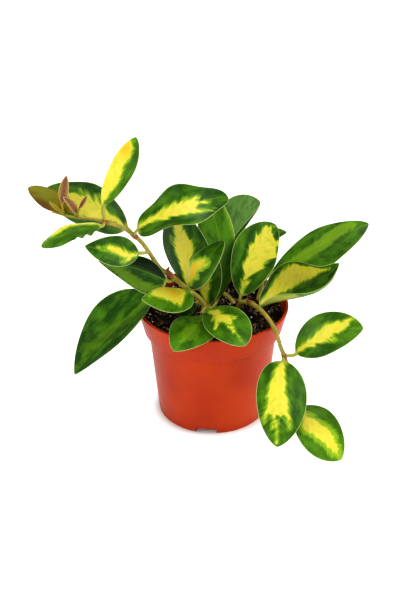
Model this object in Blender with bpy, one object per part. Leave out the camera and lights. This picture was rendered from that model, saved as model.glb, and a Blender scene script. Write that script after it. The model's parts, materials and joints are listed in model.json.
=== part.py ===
"""Potted hoya: a variegated trailing plant in a small plastic nursery pot.

Everything is at real size in Blender's metres, +Z up, with the origin at the centre of the pot's base.
The sizes below are in millimetres and degrees, and MM turns them into metres. +X is to the viewer's
right, -Y is toward the viewer. A heading of 0 points along +X and one of 90 along +Y.
"""

import math
from dataclasses import dataclass

import bmesh
import bpy
import numpy as np

MM = 0.001
GAP = 0.3

# Pot
POT_HEIGHT = 95.0
RIM_RADIUS = 60.0
LIP_WIDTH = 2.4
BAND_HEIGHT = 20.8
BAND_FOOT_RADIUS = 54.8
BODY_TOP_RADIUS = 51.3
FOOT_RADIUS = 43.7
WALL = 1.9
FLOOR_UNDERSIDE = 4.6
FLOOR_THICKNESS = 1.6
FOOT_RING_WIDTH = 2.6
HUB_RADIUS = 9.0
EDGE_ROUNDING = 0.7
ROUND_STEPS = 48

# Drainage: notches through the foot ring and round holes through the floor
NOTCH_COUNT = 4
NOTCH_WIDTH = 16.5
NOTCH_FIRST_HEADING = -96.7
HOLE_COUNT = 8
HOLE_RADIUS = 3.5
HOLE_CIRCLE_RADIUS = 26.0
HOLE_SIDES = 12
# The boxes and cylinders that cut them reach past both faces of what they cut
NOTCH_CUT = (4 * FOOT_RING_WIDTH, NOTCH_WIDTH, 2 * FLOOR_UNDERSIDE)
HOLE_CUT_DEPTH = 4 * FLOOR_THICKNESS

# Soil
SOIL_LEVEL = 86.0
SOIL_RINGS = 6
SOIL_LUMP = 0.9
# Each wave of its top: the turn per millimetre across and back, where it starts, and its share
SOIL_WAVES = ((0.21, 0.17, 1.0, 0.5), (0.21, -0.17, 1.0, 0.5), (0.37, -0.29, 0.0, 0.7))
STEM_FOOT = 77.0
STEM_HOLE_CLEARANCE = 0.6
STEM_HOLE_SIDES = 12

# Stems
STEM_SIDES = 8
STEM_STEPS = 3
SWELLING = 0.7
SWELLING_REACH = 3.0

# Leaves: one blade is a row of cross-sections, each with the same points on both faces
ACROSS = (-1.0, -0.55, 0.0, 0.55, 1.0)
BLADE_STEPS = 11
PETIOLE_STEPS = 3
BLADE_THICKNESS = 1.3
EDGE_THINNING = 0.45
PETIOLE_RADIUS = 1.1
PETIOLE_FLARE = 1.3
PETIOLE_EASE = 0.35
STALK_GAP = 0.4
ROOT_STEP = 0.05
ROOT_SIDES = 12
TIP_HALF_WIDTH = 0.7
TIP_THICKNESS = 0.7
WAVES_PER_BLADE = 1.5

# Finishes: name, colour and roughness
ORANGE_PLASTIC = ("orange plastic", (0.53, 0.085, 0.022), 0.42)
POTTING_MIX = ("dark potting mix", (0.03, 0.022, 0.017), 0.95)
STEM_BARK = ("brown green stem", (0.30, 0.24, 0.09), 0.6)
YOUNG_GROWTH = ("reddish young growth", (0.28, 0.13, 0.08), 0.5)
WAXY_LEAF = ("waxy green leaf", (0.09, 0.22, 0.045), 0.35)
YOUNG_LEAF = ("olive young leaf", (0.20, 0.19, 0.05), 0.4)

UP = np.array((0.0, 0.0, 1.0))

# Edges sharper than this many degrees stay sharp
SMOOTH_ANGLE = 50.0
POT_SMOOTH_ANGLE = 35.0


@dataclass(frozen=True)
class Stem:
    """A stem's route through the air, with its radius at the foot and the tip and its swollen nodes."""

    name: str
    route: tuple
    foot_radius: float
    tip_radius: float
    nodes: tuple = ()


@dataclass(frozen=True)
class Leaf:
    """A leaf's pose and outline.

    base is where the blade starts, heading and rise point from there to its tip. roll turns the blade
    about that line from lying face up, and twist turns it further toward the tip. arch bows the midrib
    toward the face and sway bows it sideways. curl bends the left and right halves toward the face.
    fullness gives the outline's roundness at the base and the tip, lean widens the right half, and skew
    moves its widest place. wave is the height of the margin's waves.
    """

    name: str
    node: str
    base: tuple
    heading: float
    rise: float
    length: float
    width: float
    roll: float
    arch: float = 0.0
    sway: float = 0.0
    curl: tuple = (10.0, 10.0)
    twist: float = 0.0
    fullness: tuple = (0.65, 0.7)
    lean: float = 0.0
    skew: float = 0.0
    wave: float = 0.0
    wave_start: float = 0.0
    wave_lag: float = 2.0
    young: bool = False


STEMS = (
    Stem("vine_left",
         ((-4, -5, STEM_FOOT), (-4, -5, 82), (-4, -5, 87), (-6, -8, 96), (-11, -12, 106),
          (-18, -15, 114), (-26, -16, 122), (-34, -17, 130), (-41, -18, 136), (-52, -21, 156),
          (-59, -23, 165), (-68, -27, 174), (-80, -31, 180), (-88, -33, 183), (-98, -35, 185)),
         2.3, 1.2, ((-18, -15, 114), (-34, -17, 130), (-59, -23, 165), (-80, -31, 180))),
    Stem("vine_right",
         ((20, 6, STEM_FOOT), (20, 6, 82), (20, 6, 87), (23, 1, 95), (30, -8, 99), (37, -23, 101),
          (42, -34, 100), (46, -43, 97), (49, -48, 91), (51, -49, 84), (54, -49, 76), (57, -46, 66),
          (61, -46, 52), (63, -50, 44)),
         2.1, 1.3, ((30, -8, 99), (54, -49, 76))),
    Stem("stem_back",
         ((17, 14, STEM_FOOT), (17, 14, 82), (17, 14, 87), (13, 17, 91), (8, 21, 93), (3, 26, 96),
          (1, 28, 101)), 1.8, 1.6),
    Stem("stem_side_left",
         ((-30, 4, STEM_FOOT), (-30, 4, 82), (-30, 4, 87), (-33, 1, 95), (-34, -1, 101)), 2.1, 1.8),
    Stem("stem_side_right",
         ((37, 20, STEM_FOOT), (37, 20, 82), (37, 20, 87), (39, 23, 94), (40, 25, 100)), 2.1, 1.8),
)

# Where leaves grow: the stem and the place on it
NODES = {
    "left_soil": ("vine_left", (-4, -5, 89)),
    "left_foot": ("vine_left", (-6, -8, 95)),
    "left_low": ("vine_left", (-18, -15, 114)),
    "left_middle": ("vine_left", (-30, -16.5, 126)),
    "left_upper": ("vine_left", (-49, -20, 150)),
    "left_high": ("vine_left", (-59, -23, 165)),
    "left_far": ("vine_left", (-80, -31, 180)),
    "left_end": ("vine_left", (-95, -34.4, 184.4)),
    "right_foot": ("vine_right", (20, 6, 90)),
    "right_knuckle": ("vine_right", (30, -8, 99)),
    "right_hanging": ("vine_right", (54, -49, 76)),
    "right_end": ("vine_right", (63, -50, 44)),
    "back": ("stem_back", (1, 28, 100)),
    "side_left": ("stem_side_left", (-34, -1, 100)),
    "side_right": ("stem_side_right", (40, 25, 99)),
}

LEAVES = (
    # The left vine, from its far end to the soil
    Leaf("leaf_young_olive", "left_end", (-102, -30, 188), 176, 28, 37, 18, roll=-96, arch=1.5, sway=1.5,
         curl=(10, 15), twist=5, fullness=(0.65, 0.65), wave=0.5, wave_start=0.1, young=True),
    Leaf("leaf_far_upright", "left_far", (-80, -31, 193), 9, 64, 57, 22, roll=110, arch=2, sway=-1.5,
         curl=(15, 10), twist=-10, fullness=(0.7, 0.65), wave=0.5, wave_start=0.2),
    Leaf("leaf_far_drooping", "left_far", (-82, -38, 180), -157, -9, 46, 25, roll=-122, arch=-3.5,
         curl=(10, 15), fullness=(0.55, 0.5), wave=1.0, wave_start=-0.15),
    Leaf("leaf_high_back", "left_high", (-65, -15, 168), 177, 28, 66, 41, roll=-100, arch=-8.5, sway=-1,
         curl=(5, 15), twist=5, fullness=(0.55, 0.65), lean=-0.04, wave=1.5, wave_start=-0.05),
    Leaf("leaf_high_streaked", "left_high", (-56, -27, 172), 13, 16, 71, 38, roll=24, arch=8, sway=1.5,
         curl=(25, 25), twist=15, fullness=(0.4, 0.55), lean=0.04, skew=0.1, wave=4.5,
         wave_start=-0.2, wave_lag=-2.0),
    Leaf("leaf_upper_left", "left_upper", (-56, -26, 152), -147, 22, 48, 23, roll=-73, arch=1.5, sway=-1,
         twist=-15, fullness=(0.65, 0.85), lean=0.02),
    Leaf("leaf_middle_folded", "left_middle", (-35, -23, 127), -176, 20, 55, 33, roll=-96, arch=-6.5,
         sway=-1, curl=(30, 40), twist=-10, fullness=(0.55, 0.95), skew=-0.4, wave=-0.5),
    Leaf("leaf_low_yellow", "left_low", (-17, -23, 117), -139, 13, 49, 27, roll=-24, arch=-0.5, sway=-2.5,
         curl=(0, -5), twist=-5, fullness=(0.65, 0.8), lean=-0.04, wave=-0.5, wave_start=-0.05),
    Leaf("leaf_low_upright", "left_low", (-18, -19, 120), -11, 58, 49, 24, roll=50, arch=8, sway=3.5,
         curl=(0, 10), twist=-5, fullness=(0.65, 0.65), lean=0.02, skew=-0.1, wave=0.5,
         wave_start=0.15),
    Leaf("leaf_foot_upright", "left_soil", (-3, -3, 95), -24, 85, 48, 24, roll=78, arch=0.5, sway=-1.5,
         twist=5, fullness=(0.75, 0.7), skew=-0.05),
    Leaf("leaf_foot_front_right", "left_foot", (-7, -24, 100), -61, 2, 61, 31, roll=19, arch=3.5,
         sway=-2.5, twist=-10, fullness=(0.7, 0.6), lean=-0.02, skew=-0.05),
    Leaf("leaf_foot_shaded", "left_foot", (-13.5, -7.1, 98.8), -169, -21, 19.5, 12, roll=-100, arch=2,
         sway=-0.5, curl=(15, 15), twist=-10, fullness=(0.6, 0.75)),
    Leaf("leaf_foot_front_left", "left_soil", (-8, -13, 90), -110, 4, 63, 36, roll=-9, arch=5.5,
         sway=-3.5, curl=(10, 0), fullness=(0.65, 0.7), lean=-0.02, skew=-0.05),
    Leaf("leaf_centre_tall", "left_soil", (4, 12, 92), 129, 80, 88, 29, roll=-19, arch=7.5, sway=4,
         curl=(5, 5), fullness=(0.75, 0.5), lean=-0.04, skew=0.05),
    # The short stems that stand in the soil
    Leaf("leaf_side_left_large", "side_left", (-48, -6, 105), -149, -36, 86, 57, roll=0, arch=3,
         sway=-0.5, curl=(35, 25), twist=5, fullness=(0.6, 0.85), lean=0.04, skew=0.1, wave=-0.5,
         wave_start=0.15),
    Leaf("leaf_side_left_upright", "side_left", (-18, 3, 107), 140, 77, 70, 46, roll=-85, arch=1.5,
         sway=1, curl=(-10, -5), twist=-5, fullness=(0.7, 0.85), lean=0.06, skew=0.1, wave=0.5,
         wave_start=0.05),
    Leaf("leaf_back_pale", "back", (14, 38, 106), 36, 60, 60, 40, roll=8, arch=6, sway=-4.5,
         curl=(25, 95), twist=25, fullness=(0.7, 0.55), lean=-0.08, skew=0.05, wave=-1.0,
         wave_start=0.1),
    Leaf("leaf_side_right_large", "side_right", (48, 30, 106), 3, 29, 87, 41, roll=28, arch=2, sway=-1,
         curl=(-15, 5), twist=-10, fullness=(0.7, 0.7), lean=0.06, skew=0.2, wave=1.0,
         wave_start=0.15),
    Leaf("leaf_side_right_small", "side_right", (27, 34, 112), 35, 23, 45, 23, roll=3, arch=7, sway=-2.5,
         curl=(20, 20), twist=5, fullness=(0.6, 0.7), skew=0.05),
    # The right vine, from the soil to its end
    Leaf("leaf_right_upright", "right_foot", (22, 6, 98), 36, 57, 63, 40, roll=72, arch=-3, sway=-5,
         curl=(10, 20), twist=-10, fullness=(0.7, 0.6), skew=0.25, wave=-1.5, wave_start=-0.1),
    Leaf("leaf_right_twisted", "right_knuckle", (36.5, -8.5, 96.2), -8, 33, 70, 44, roll=53, arch=-9,
         sway=-1.5, curl=(50, 130), twist=85, fullness=(0.75, 0.75), lean=-0.04, skew=-0.1,
         wave=-0.5, wave_start=-0.05),
    Leaf("leaf_hanging_side", "right_hanging", (63, -52, 80), -12, 30, 56, 34, roll=40, arch=4,
         sway=-4.5, curl=(15, 10), twist=-5, fullness=(0.65, 0.7), wave=-0.5, wave_start=-0.15),
    Leaf("leaf_hanging_front", "right_hanging", (53, -53, 74), -98, -57, 65, 39, roll=-8, arch=4.5,
         curl=(15, 15), fullness=(0.5, 0.7), skew=0.15),
    Leaf("leaf_hanging_low", "right_end", (66, -60, 36), -45, -31, 51, 35, roll=23, arch=6, sway=1,
         twist=5, fullness=(0.65, 0.7), lean=0.02, skew=-0.15, wave=-0.5),
)

# The young shoot beyond the left vine's end: its stem and the small leaves and buds fused to it
SHOOT_STEM = Stem("young_shoot", ((-98.6, -35.1, 185.1), (-104, -36, 186.5), (-109, -36, 188),
                                  (-113, -36.5, 189.5), (-117, -37, 191)), 1.1, 0.5)
SHOOT_LEAVES = (
    Leaf("shoot_upright", "", (-109, -38, 198), 0, 79, 22, 9, roll=80, arch=1, curl=(20, 20),
         fullness=(0.7, 0.8)),
    Leaf("shoot_folded", "", (-99.5, -37, 190), -158, 57, 17, 8, roll=-60, arch=2, curl=(40, 40),
         fullness=(0.6, 0.8)),
    Leaf("shoot_narrow", "", (-97.5, -36, 193), 0, 57, 12, 3.4, roll=60, curl=(0, 0)),
    Leaf("shoot_bud", "", (-110, -36.5, 190), 176, 43, 12, 3.0, roll=-60, curl=(0, 0)),
)
SHOOT_ROOTS = ((-108.5, -36, 188), (-101.5, -35.6, 186), (-99.8, -35.4, 185.6), (-108, -36, 187.8))
SHOOT_BLADE_STEPS = 7
SHOOT_PETIOLE_RADIUS = 0.7
SHOOT_THICKNESS = 0.9

# Dry bud stubs on the vines: where each starts on the stem's axis, its direction and its length
STUBS = {
    "vine_left": (((-34, -17, 130), (-0.1, -0.45, 1.0), 6.5), ((-36, -17, 132), (0.5, -0.5, 1.0), 6.0)),
    "vine_right": (((28.5, -6, 98.2), (-0.5, -0.3, 1.0), 6.0),),
}
STUB_RADIUS = 1.1
STUB_TIP_RADIUS = 0.5
STUB_TAPER_START = 0.6
STUB_SIDES = 6


# Materials
def material(name, colour, roughness):
    """A plain Principled material."""
    new = bpy.data.materials.new(name)
    new.use_nodes = True
    shader = new.node_tree.nodes["Principled BSDF"]
    shader.inputs["Base Color"].default_value = (*colour, 1.0)
    shader.inputs["Roughness"].default_value = roughness
    new.diffuse_color = (*colour, 1.0)
    return new


def clear_scene():
    """Removes whatever the scene starts with."""
    for old in list(bpy.data.objects):
        bpy.data.objects.remove(old, do_unlink=True)


def add_object(name, mesh, finish=None):
    """Puts a mesh into the scene under a plain name."""
    obj = bpy.data.objects.new(name, mesh)
    bpy.context.scene.collection.objects.link(obj)
    if finish:
        mesh.materials.append(finish)
    return obj


# Lofted solids
def unit(vector):
    return vector / np.linalg.norm(vector)


def loft(name, rings, mirror_columns=()):
    """Closes a row of rings into one solid.

    Each quad is cut along one diagonal; the columns in mirror_columns are cut along the other one.
    """
    bm = bmesh.new()
    rows = [[bm.verts.new(point * MM) for point in ring] for ring in rings]
    count = len(rings[0])
    for lower, upper in zip(rows, rows[1:]):
        for j in range(count):
            a, b = lower[j], lower[(j + 1) % count]
            c, d = upper[j], upper[(j + 1) % count]
            corners = ((a, b, c), (b, d, c)) if j in mirror_columns else ((a, b, d), (a, d, c))
            for corner in corners:
                bm.faces.new(corner)
    bm.faces.new(rows[0][::-1])
    bm.faces.new(rows[-1])
    bmesh.ops.triangulate(bm, faces=[face for face in bm.faces if len(face.verts) > 4])
    bmesh.ops.recalc_face_normals(bm, faces=bm.faces)
    mesh = bpy.data.meshes.new(name)
    bm.to_mesh(mesh)
    bm.free()
    mesh.shade_smooth()
    mesh.set_sharp_from_angle(angle=math.radians(SMOOTH_ANGLE))
    return mesh


def smooth_route(points, steps):
    """A Catmull-Rom curve through the points, with `steps` steps from each to the next."""
    points = np.array(points, dtype=float)
    padded = np.vstack((2 * points[0] - points[1], points, 2 * points[-1] - points[-2]))
    route = []
    for p0, p1, p2, p3 in zip(padded, padded[1:], padded[2:], padded[3:]):
        for t in np.arange(steps) / steps:
            route.append(0.5 * (2 * p1 + (p2 - p0) * t + (2 * p0 - 5 * p1 + 4 * p2 - p3) * t ** 2
                                + (3 * p1 - p0 - 3 * p2 + p3) * t ** 3))
    route.append(points[-1])
    return np.array(route)


def directions(path):
    """The unit direction of a path at each of its points."""
    steps = np.gradient(path, axis=0)
    return steps / np.linalg.norm(steps, axis=1)[:, None]


def tube_rings(path, radii, sides):
    """Round rings along a path, carried from one to the next without twisting."""
    side = np.array((1.0, 0.0, 0.0))
    turn = 2 * np.pi * np.arange(sides) / sides
    rings = []
    for point, along, radius in zip(path, directions(path), radii):
        side = unit(side - (side @ along) * along)
        across = np.cross(along, side)
        rings.append(point + radius * (np.outer(np.cos(turn), side) + np.outer(np.sin(turn), across)))
    return rings


# Stems
def stem_shape(stem):
    """A stem's smooth path and the radius at each of its points, swollen at its nodes."""
    path = smooth_route(stem.route, STEM_STEPS)
    share = np.linspace(0.0, 1.0, len(path))
    radii = stem.foot_radius + (stem.tip_radius - stem.foot_radius) * share
    for node in stem.nodes:
        distance = np.linalg.norm(path - np.array(node, dtype=float), axis=1)
        radii = radii + SWELLING * np.exp(-(distance / SWELLING_REACH) ** 2)
    return path, radii


def stub_mesh(start, direction, length):
    """A short dry bud stub with its root inside the stem."""
    start = np.array(start, dtype=float)
    tip = start + unit(np.array(direction)) * length
    path = start + np.outer((0.0, STUB_TAPER_START, 1.0), tip - start)
    return loft("stub", tube_rings(path, (STUB_RADIUS, STUB_RADIUS, STUB_TIP_RADIUS), STUB_SIDES))


def fuse(obj, parts):
    """Joins the parts to the object by one Boolean union and removes them."""
    group = bpy.data.collections.new("fused_parts")
    for part in parts:
        group.objects.link(part)
    union = obj.modifiers.new("union", "BOOLEAN")
    union.operation = "UNION"
    union.operand_type = "COLLECTION"
    union.collection = group
    union.solver = "EXACT"
    evaluated = obj.evaluated_get(bpy.context.evaluated_depsgraph_get())
    mesh = bpy.data.meshes.new_from_object(evaluated)
    mesh.name = obj.name
    obj.modifiers.clear()
    obj.data = mesh
    for part in parts:
        bpy.data.objects.remove(part, do_unlink=True)
    bpy.data.collections.remove(group)


def build_stem(stem, finish):
    """One stem with its stubs fused on."""
    path, radii = stem_shape(stem)
    obj = add_object(stem.name, loft(stem.name, tube_rings(path, radii, STEM_SIDES)), finish)
    stubs = [add_object("stub", stub_mesh(*stub)) for stub in STUBS.get(stem.name, ())]
    if stubs:
        fuse(obj, stubs)
    return obj


def clearance(points, stem):
    """How far the nearest of the points lies outside a stem, whose tip is cut flat."""
    path, radii = stem_shape(stem)
    ways = directions(path)
    least = math.inf
    for point in points:
        index = int(np.argmin(np.linalg.norm(path - point, axis=1)))
        offset = point - path[index]
        ahead = float(offset @ ways[index])
        aside = float(np.linalg.norm(offset - ahead * ways[index]) - radii[index])
        past_tip = index == len(path) - 1 and ahead > 0
        least = min(least, math.hypot(ahead, max(aside, 0.0)) if past_tip else aside)
    return least


def root_beside(stem, place, toward):
    """Where a leaf stalk starts: the first place towards the blade where its round end clears the stem."""
    path, _ = stem_shape(stem)
    index = int(np.argmin(np.linalg.norm(path - np.array(place, dtype=float), axis=1)))
    outward = unit(np.array(toward, dtype=float) - path[index])
    side = unit(np.cross(outward, directions(path)[index]))
    turn = 2 * np.pi * np.arange(ROOT_SIDES) / ROOT_SIDES
    end = PETIOLE_RADIUS * (np.outer(np.cos(turn), side) + np.outer(np.sin(turn), np.cross(outward, side)))
    reach = 0.0
    while clearance(path[index] + reach * outward + end, stem) < STALK_GAP:
        reach += ROOT_STEP
    return path[index] + reach * outward


# Leaves
def blade_axes(leaf, shares):
    """The midrib's points along a leaf, with the direction, face normal and right side at each."""
    heading, rise = math.radians(leaf.heading), math.radians(leaf.rise)
    ahead = np.array((math.cos(rise) * math.cos(heading), math.cos(rise) * math.sin(heading),
                      math.sin(rise)))
    face_up = unit(UP - (UP @ ahead) * ahead)
    side = np.cross(ahead, face_up)
    roll = math.radians(leaf.roll)
    face = math.cos(roll) * face_up + math.sin(roll) * side
    right = np.cross(ahead, face)
    bow = face * leaf.arch + right * leaf.sway
    midrib = (np.array(leaf.base, dtype=float) + np.outer(shares, ahead * leaf.length)
              + np.outer(4 * shares * (1 - shares), bow))
    along = ahead * leaf.length + np.outer(4 - 8 * shares, bow)
    along /= np.linalg.norm(along, axis=1)[:, None]
    turn = np.radians(leaf.roll + leaf.twist * (shares - 0.5))
    faces = np.outer(np.cos(turn), face_up) + np.outer(np.sin(turn), side)
    faces -= np.sum(faces * along, axis=1)[:, None] * along
    faces /= np.linalg.norm(faces, axis=1)[:, None]
    return midrib, along, faces, np.cross(along, faces)


def half_width(leaf, share, side):
    """The blade's half width on one side: 1 is the right half and -1 the left."""
    rise = leaf.fullness[0] * (1 - side * leaf.skew)
    fall = leaf.fullness[1]
    widest = rise / (rise + fall)
    outline = (share ** rise * (1 - share) ** fall) / (widest ** rise * (1 - widest) ** fall)
    return outline * leaf.width * (0.5 + side * leaf.lean)


def section(leaf, share, centre, face, right, half_least, thickness):
    """One ring across the blade: its upper points from left to right, then its lower points back."""
    upper, lower = [], []
    for place in ACROSS:
        side = 1 if place > 0 else -1
        reach = abs(place)
        half = max(half_width(leaf, share, side), half_least)
        curl = math.radians(leaf.curl[1] if place > 0 else leaf.curl[0])
        out, lift = reach, 0.0
        if abs(curl) > 0.001:
            out, lift = math.sin(curl * reach) / curl, (1 - math.cos(curl * reach)) / curl
        phase = 2 * math.pi * (WAVES_PER_BLADE * share + leaf.wave_start)
        phase += 0.0 if side > 0 else leaf.wave_lag
        ripple = leaf.wave * math.sin(phase) * reach ** 2 * math.sin(math.pi * share)
        point = centre + right * side * half * out + face * (half * lift + ripple)
        normal = face * math.cos(curl * reach) - right * side * math.sin(curl * reach)
        half_depth = thickness * (1 - EDGE_THINNING * reach) / 2
        upper.append(point + normal * half_depth)
        lower.append(point - normal * half_depth)
    return np.array(upper + lower[::-1])


def petiole_rings(root, midrib, along, faces, radius):
    """Round rings from the stem to the blade, turned to match the blade's own rings."""
    reach = np.linalg.norm(midrib[0] - root)
    first = root + (midrib[0] - root) * PETIOLE_EASE
    last = midrib[0] - along[0] * reach * PETIOLE_EASE
    path = [(1 - t) ** 3 * root + 3 * (1 - t) ** 2 * t * first + 3 * (1 - t) * t ** 2 * last
            + t ** 3 * midrib[0] for t in np.linspace(0.0, 1.0, PETIOLE_STEPS + 1)]
    ways = directions(np.array(path))
    count = 2 * len(ACROSS)
    turn = np.pi * (1 - 1 / count) - 2 * np.pi * np.arange(count) / count
    rings, face = [], faces[0]
    for point, way in zip(path[-2::-1], ways[-2::-1]):
        face = unit(face - (face @ way) * way)
        side = np.cross(way, face)
        rings.insert(0, point + radius * (np.outer(np.cos(turn), side) + np.outer(np.sin(turn), face)))
    return rings


def leaf_mesh(leaf, root, blade_steps=BLADE_STEPS, radius=PETIOLE_RADIUS, thickness=BLADE_THICKNESS):
    """A blade and its stalk as one closed solid, cut into triangles alike on both faces."""
    shares = 0.5 - 0.5 * np.cos(np.pi * np.linspace(0.0, 1.0, blade_steps + 1))
    midrib, along, faces, rights = blade_axes(leaf, shares)
    rings = petiole_rings(np.array(root, dtype=float), midrib, along, faces, radius)
    for i, share in enumerate(shares):
        least, depth = TIP_HALF_WIDTH, thickness
        if i == 0:
            least, depth = radius * PETIOLE_FLARE, 2 * radius
        elif i == blade_steps:
            depth = TIP_THICKNESS
        rings.append(section(leaf, share, midrib[i], faces[i], rights[i], least, depth))
    half = (len(ACROSS) - 1) // 2
    upper_right = set(range(half, 2 * half))
    lower_left = set(range(3 * half + 1, 4 * half + 1))
    return loft(leaf.name, rings, upper_right | lower_left)


def build_leaf(leaf, finish):
    stem_name, place = NODES[leaf.node]
    stem = next(stem for stem in STEMS if stem.name == stem_name)
    return add_object(leaf.name, leaf_mesh(leaf, root_beside(stem, place, leaf.base)), finish)


def build_shoot(finish):
    """The young shoot: a thin stem end with small leaves sunk into it."""
    path = smooth_route(SHOOT_STEM.route, STEM_STEPS)
    radii = np.linspace(SHOOT_STEM.foot_radius, SHOOT_STEM.tip_radius, len(path))
    obj = add_object(SHOOT_STEM.name, loft(SHOOT_STEM.name, tube_rings(path, radii, STEM_SIDES)), finish)
    blades = [add_object(leaf.name, leaf_mesh(leaf, root, SHOOT_BLADE_STEPS, SHOOT_PETIOLE_RADIUS,
                                              SHOOT_THICKNESS))
              for leaf, root in zip(SHOOT_LEAVES, SHOOT_ROOTS)]
    fuse(obj, blades)
    return obj


# Pot and soil
def turned(name, profile):
    """Spins a closed profile of (radius, height) pairs about the Z axis into a solid."""
    bm = bmesh.new()
    verts = [bm.verts.new((radius * MM, 0.0, height * MM)) for radius, height in profile]
    edges = [bm.edges.new(pair) for pair in zip(verts, verts[1:])]
    bmesh.ops.spin(bm, geom=verts + edges, cent=(0, 0, 0), axis=(0, 0, 1), angle=2 * math.pi,
                   steps=ROUND_STEPS, use_merge=True)
    bmesh.ops.remove_doubles(bm, verts=bm.verts, dist=0.00001)
    bmesh.ops.recalc_face_normals(bm, faces=bm.faces)
    mesh = bpy.data.meshes.new(name)
    bm.to_mesh(mesh)
    bm.free()
    mesh.shade_smooth()
    mesh.set_sharp_from_angle(angle=math.radians(POT_SMOOTH_ANGLE))
    return mesh


def body_radius(height):
    """The pot's outer radius below the band."""
    return FOOT_RADIUS + (BODY_TOP_RADIUS - FOOT_RADIUS) * height / (POT_HEIGHT - BAND_HEIGHT)


def band_inner_radius(height):
    """The inner radius of the rim band."""
    bottom = BAND_FOOT_RADIUS - WALL
    top = RIM_RADIUS - LIP_WIDTH
    share = (height - (POT_HEIGHT - BAND_HEIGHT)) / BAND_HEIGHT
    return bottom + (top - bottom) * share


def pot_profile():
    """The pot's section from the middle of its underside, up the outside and down the inside."""
    band = POT_HEIGHT - BAND_HEIGHT
    floor_top = FLOOR_UNDERSIDE + FLOOR_THICKNESS
    e = EDGE_ROUNDING
    return (
        (0, 0), (HUB_RADIUS - e, 0), (HUB_RADIUS, FLOOR_UNDERSIDE),
        (FOOT_RADIUS - FOOT_RING_WIDTH, FLOOR_UNDERSIDE), (FOOT_RADIUS - FOOT_RING_WIDTH, 0),
        (FOOT_RADIUS - e, 0), (body_radius(e), e),
        (BODY_TOP_RADIUS, band), (BAND_FOOT_RADIUS - e, band), (BAND_FOOT_RADIUS, band + e),
        (RIM_RADIUS - e / 2, POT_HEIGHT - 2 * e), (RIM_RADIUS, POT_HEIGHT - e),
        (RIM_RADIUS - e, POT_HEIGHT), (RIM_RADIUS - LIP_WIDTH + e, POT_HEIGHT),
        (RIM_RADIUS - LIP_WIDTH, POT_HEIGHT - e), (band_inner_radius(band + WALL), band + WALL),
        (BODY_TOP_RADIUS - WALL, band - WALL / 2), (body_radius(floor_top) - WALL, floor_top),
        (0, floor_top),
    )


def cutter(name, mesh, group):
    """A wire-displayed object that only cuts others."""
    obj = bpy.data.objects.new(name, mesh)
    group.objects.link(obj)
    obj.hide_render = True
    obj.display_type = "WIRE"
    return obj


def cylinder_mesh(name, radius, depth, sides):
    bm = bmesh.new()
    bmesh.ops.create_cone(bm, cap_ends=True, segments=sides, radius1=radius * MM, radius2=radius * MM,
                          depth=depth * MM)
    mesh = bpy.data.meshes.new(name)
    bm.to_mesh(mesh)
    bm.free()
    return mesh


def cut_away(obj, group):
    """Subtracts every object of a collection."""
    bpy.context.scene.collection.children.link(group)
    cut = obj.modifiers.new("cut", "BOOLEAN")
    cut.operation = "DIFFERENCE"
    cut.operand_type = "COLLECTION"
    cut.collection = group
    cut.solver = "EXACT"


def build_pot(finish):
    pot = add_object("pot", turned("pot", pot_profile()), finish)
    group = bpy.data.collections.new("drainage")
    box = bmesh.new()
    bmesh.ops.create_cube(box, size=1.0)
    bmesh.ops.scale(box, verts=box.verts, vec=tuple(side * MM for side in NOTCH_CUT))
    notch_mesh = bpy.data.meshes.new("notch")
    box.to_mesh(notch_mesh)
    box.free()
    for i in range(NOTCH_COUNT):
        heading = math.radians(NOTCH_FIRST_HEADING + 360 * i / NOTCH_COUNT)
        notch = cutter(f"notch_{i + 1}", notch_mesh, group)
        notch.location = (FOOT_RADIUS * MM * math.cos(heading), FOOT_RADIUS * MM * math.sin(heading), 0)
        notch.rotation_euler = (0, 0, heading)
    hole_mesh = cylinder_mesh("drain_hole", HOLE_RADIUS, HOLE_CUT_DEPTH, HOLE_SIDES)
    for i in range(HOLE_COUNT):
        heading = 2 * math.pi * (i + 0.5) / HOLE_COUNT
        hole = cutter(f"drain_hole_{i + 1}", hole_mesh, group)
        hole.location = (HOLE_CIRCLE_RADIUS * MM * math.cos(heading),
                         HOLE_CIRCLE_RADIUS * MM * math.sin(heading),
                         (FLOOR_UNDERSIDE + FLOOR_THICKNESS / 2) * MM)
    cut_away(pot, group)
    return pot


def soil_height(x, y):
    """The lumpy top of the soil, flatter toward the pot's wall."""
    lumps = sum(share * math.sin(across * x + back * y + start) for across, back, start, share in SOIL_WAVES)
    edge = math.hypot(x, y) / band_inner_radius(SOIL_LEVEL)
    return SOIL_LEVEL + SOIL_LUMP * lumps * (1 - edge ** 2)


def build_soil(finish):
    """The potting mix: it fills the pot to below the rim, and each stem stands in its own hole."""
    band = POT_HEIGHT - BAND_HEIGHT
    floor_top = FLOOR_UNDERSIDE + FLOOR_THICKNESS
    top_radius = band_inner_radius(SOIL_LEVEL) - GAP
    sides = ((0, floor_top + GAP), (body_radius(floor_top) - WALL - GAP, floor_top + GAP),
             (BODY_TOP_RADIUS - WALL - GAP, band - WALL / 2 + GAP),
             (band_inner_radius(band + WALL) - GAP, band + WALL + GAP))
    top = tuple((top_radius * (SOIL_RINGS - i) / SOIL_RINGS, SOIL_LEVEL) for i in range(SOIL_RINGS + 1))
    soil = add_object("soil", turned("soil", sides + top), finish)
    for vert in soil.data.vertices:
        if vert.co.z > (SOIL_LEVEL - 1) * MM:
            vert.co.z = soil_height(vert.co.x / MM, vert.co.y / MM) * MM
    group = bpy.data.collections.new("stem_holes")
    depth = 2 * (SOIL_LEVEL - STEM_FOOT + GAP)
    for stem in STEMS:
        mesh = cylinder_mesh("stem_hole", stem.foot_radius + STEM_HOLE_CLEARANCE, depth, STEM_HOLE_SIDES)
        hole = cutter(f"hole_{stem.name}", mesh, group)
        x, y, _ = stem.route[0]
        hole.location = (x * MM, y * MM, SOIL_LEVEL * MM)
    cut_away(soil, group)
    return soil


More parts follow.
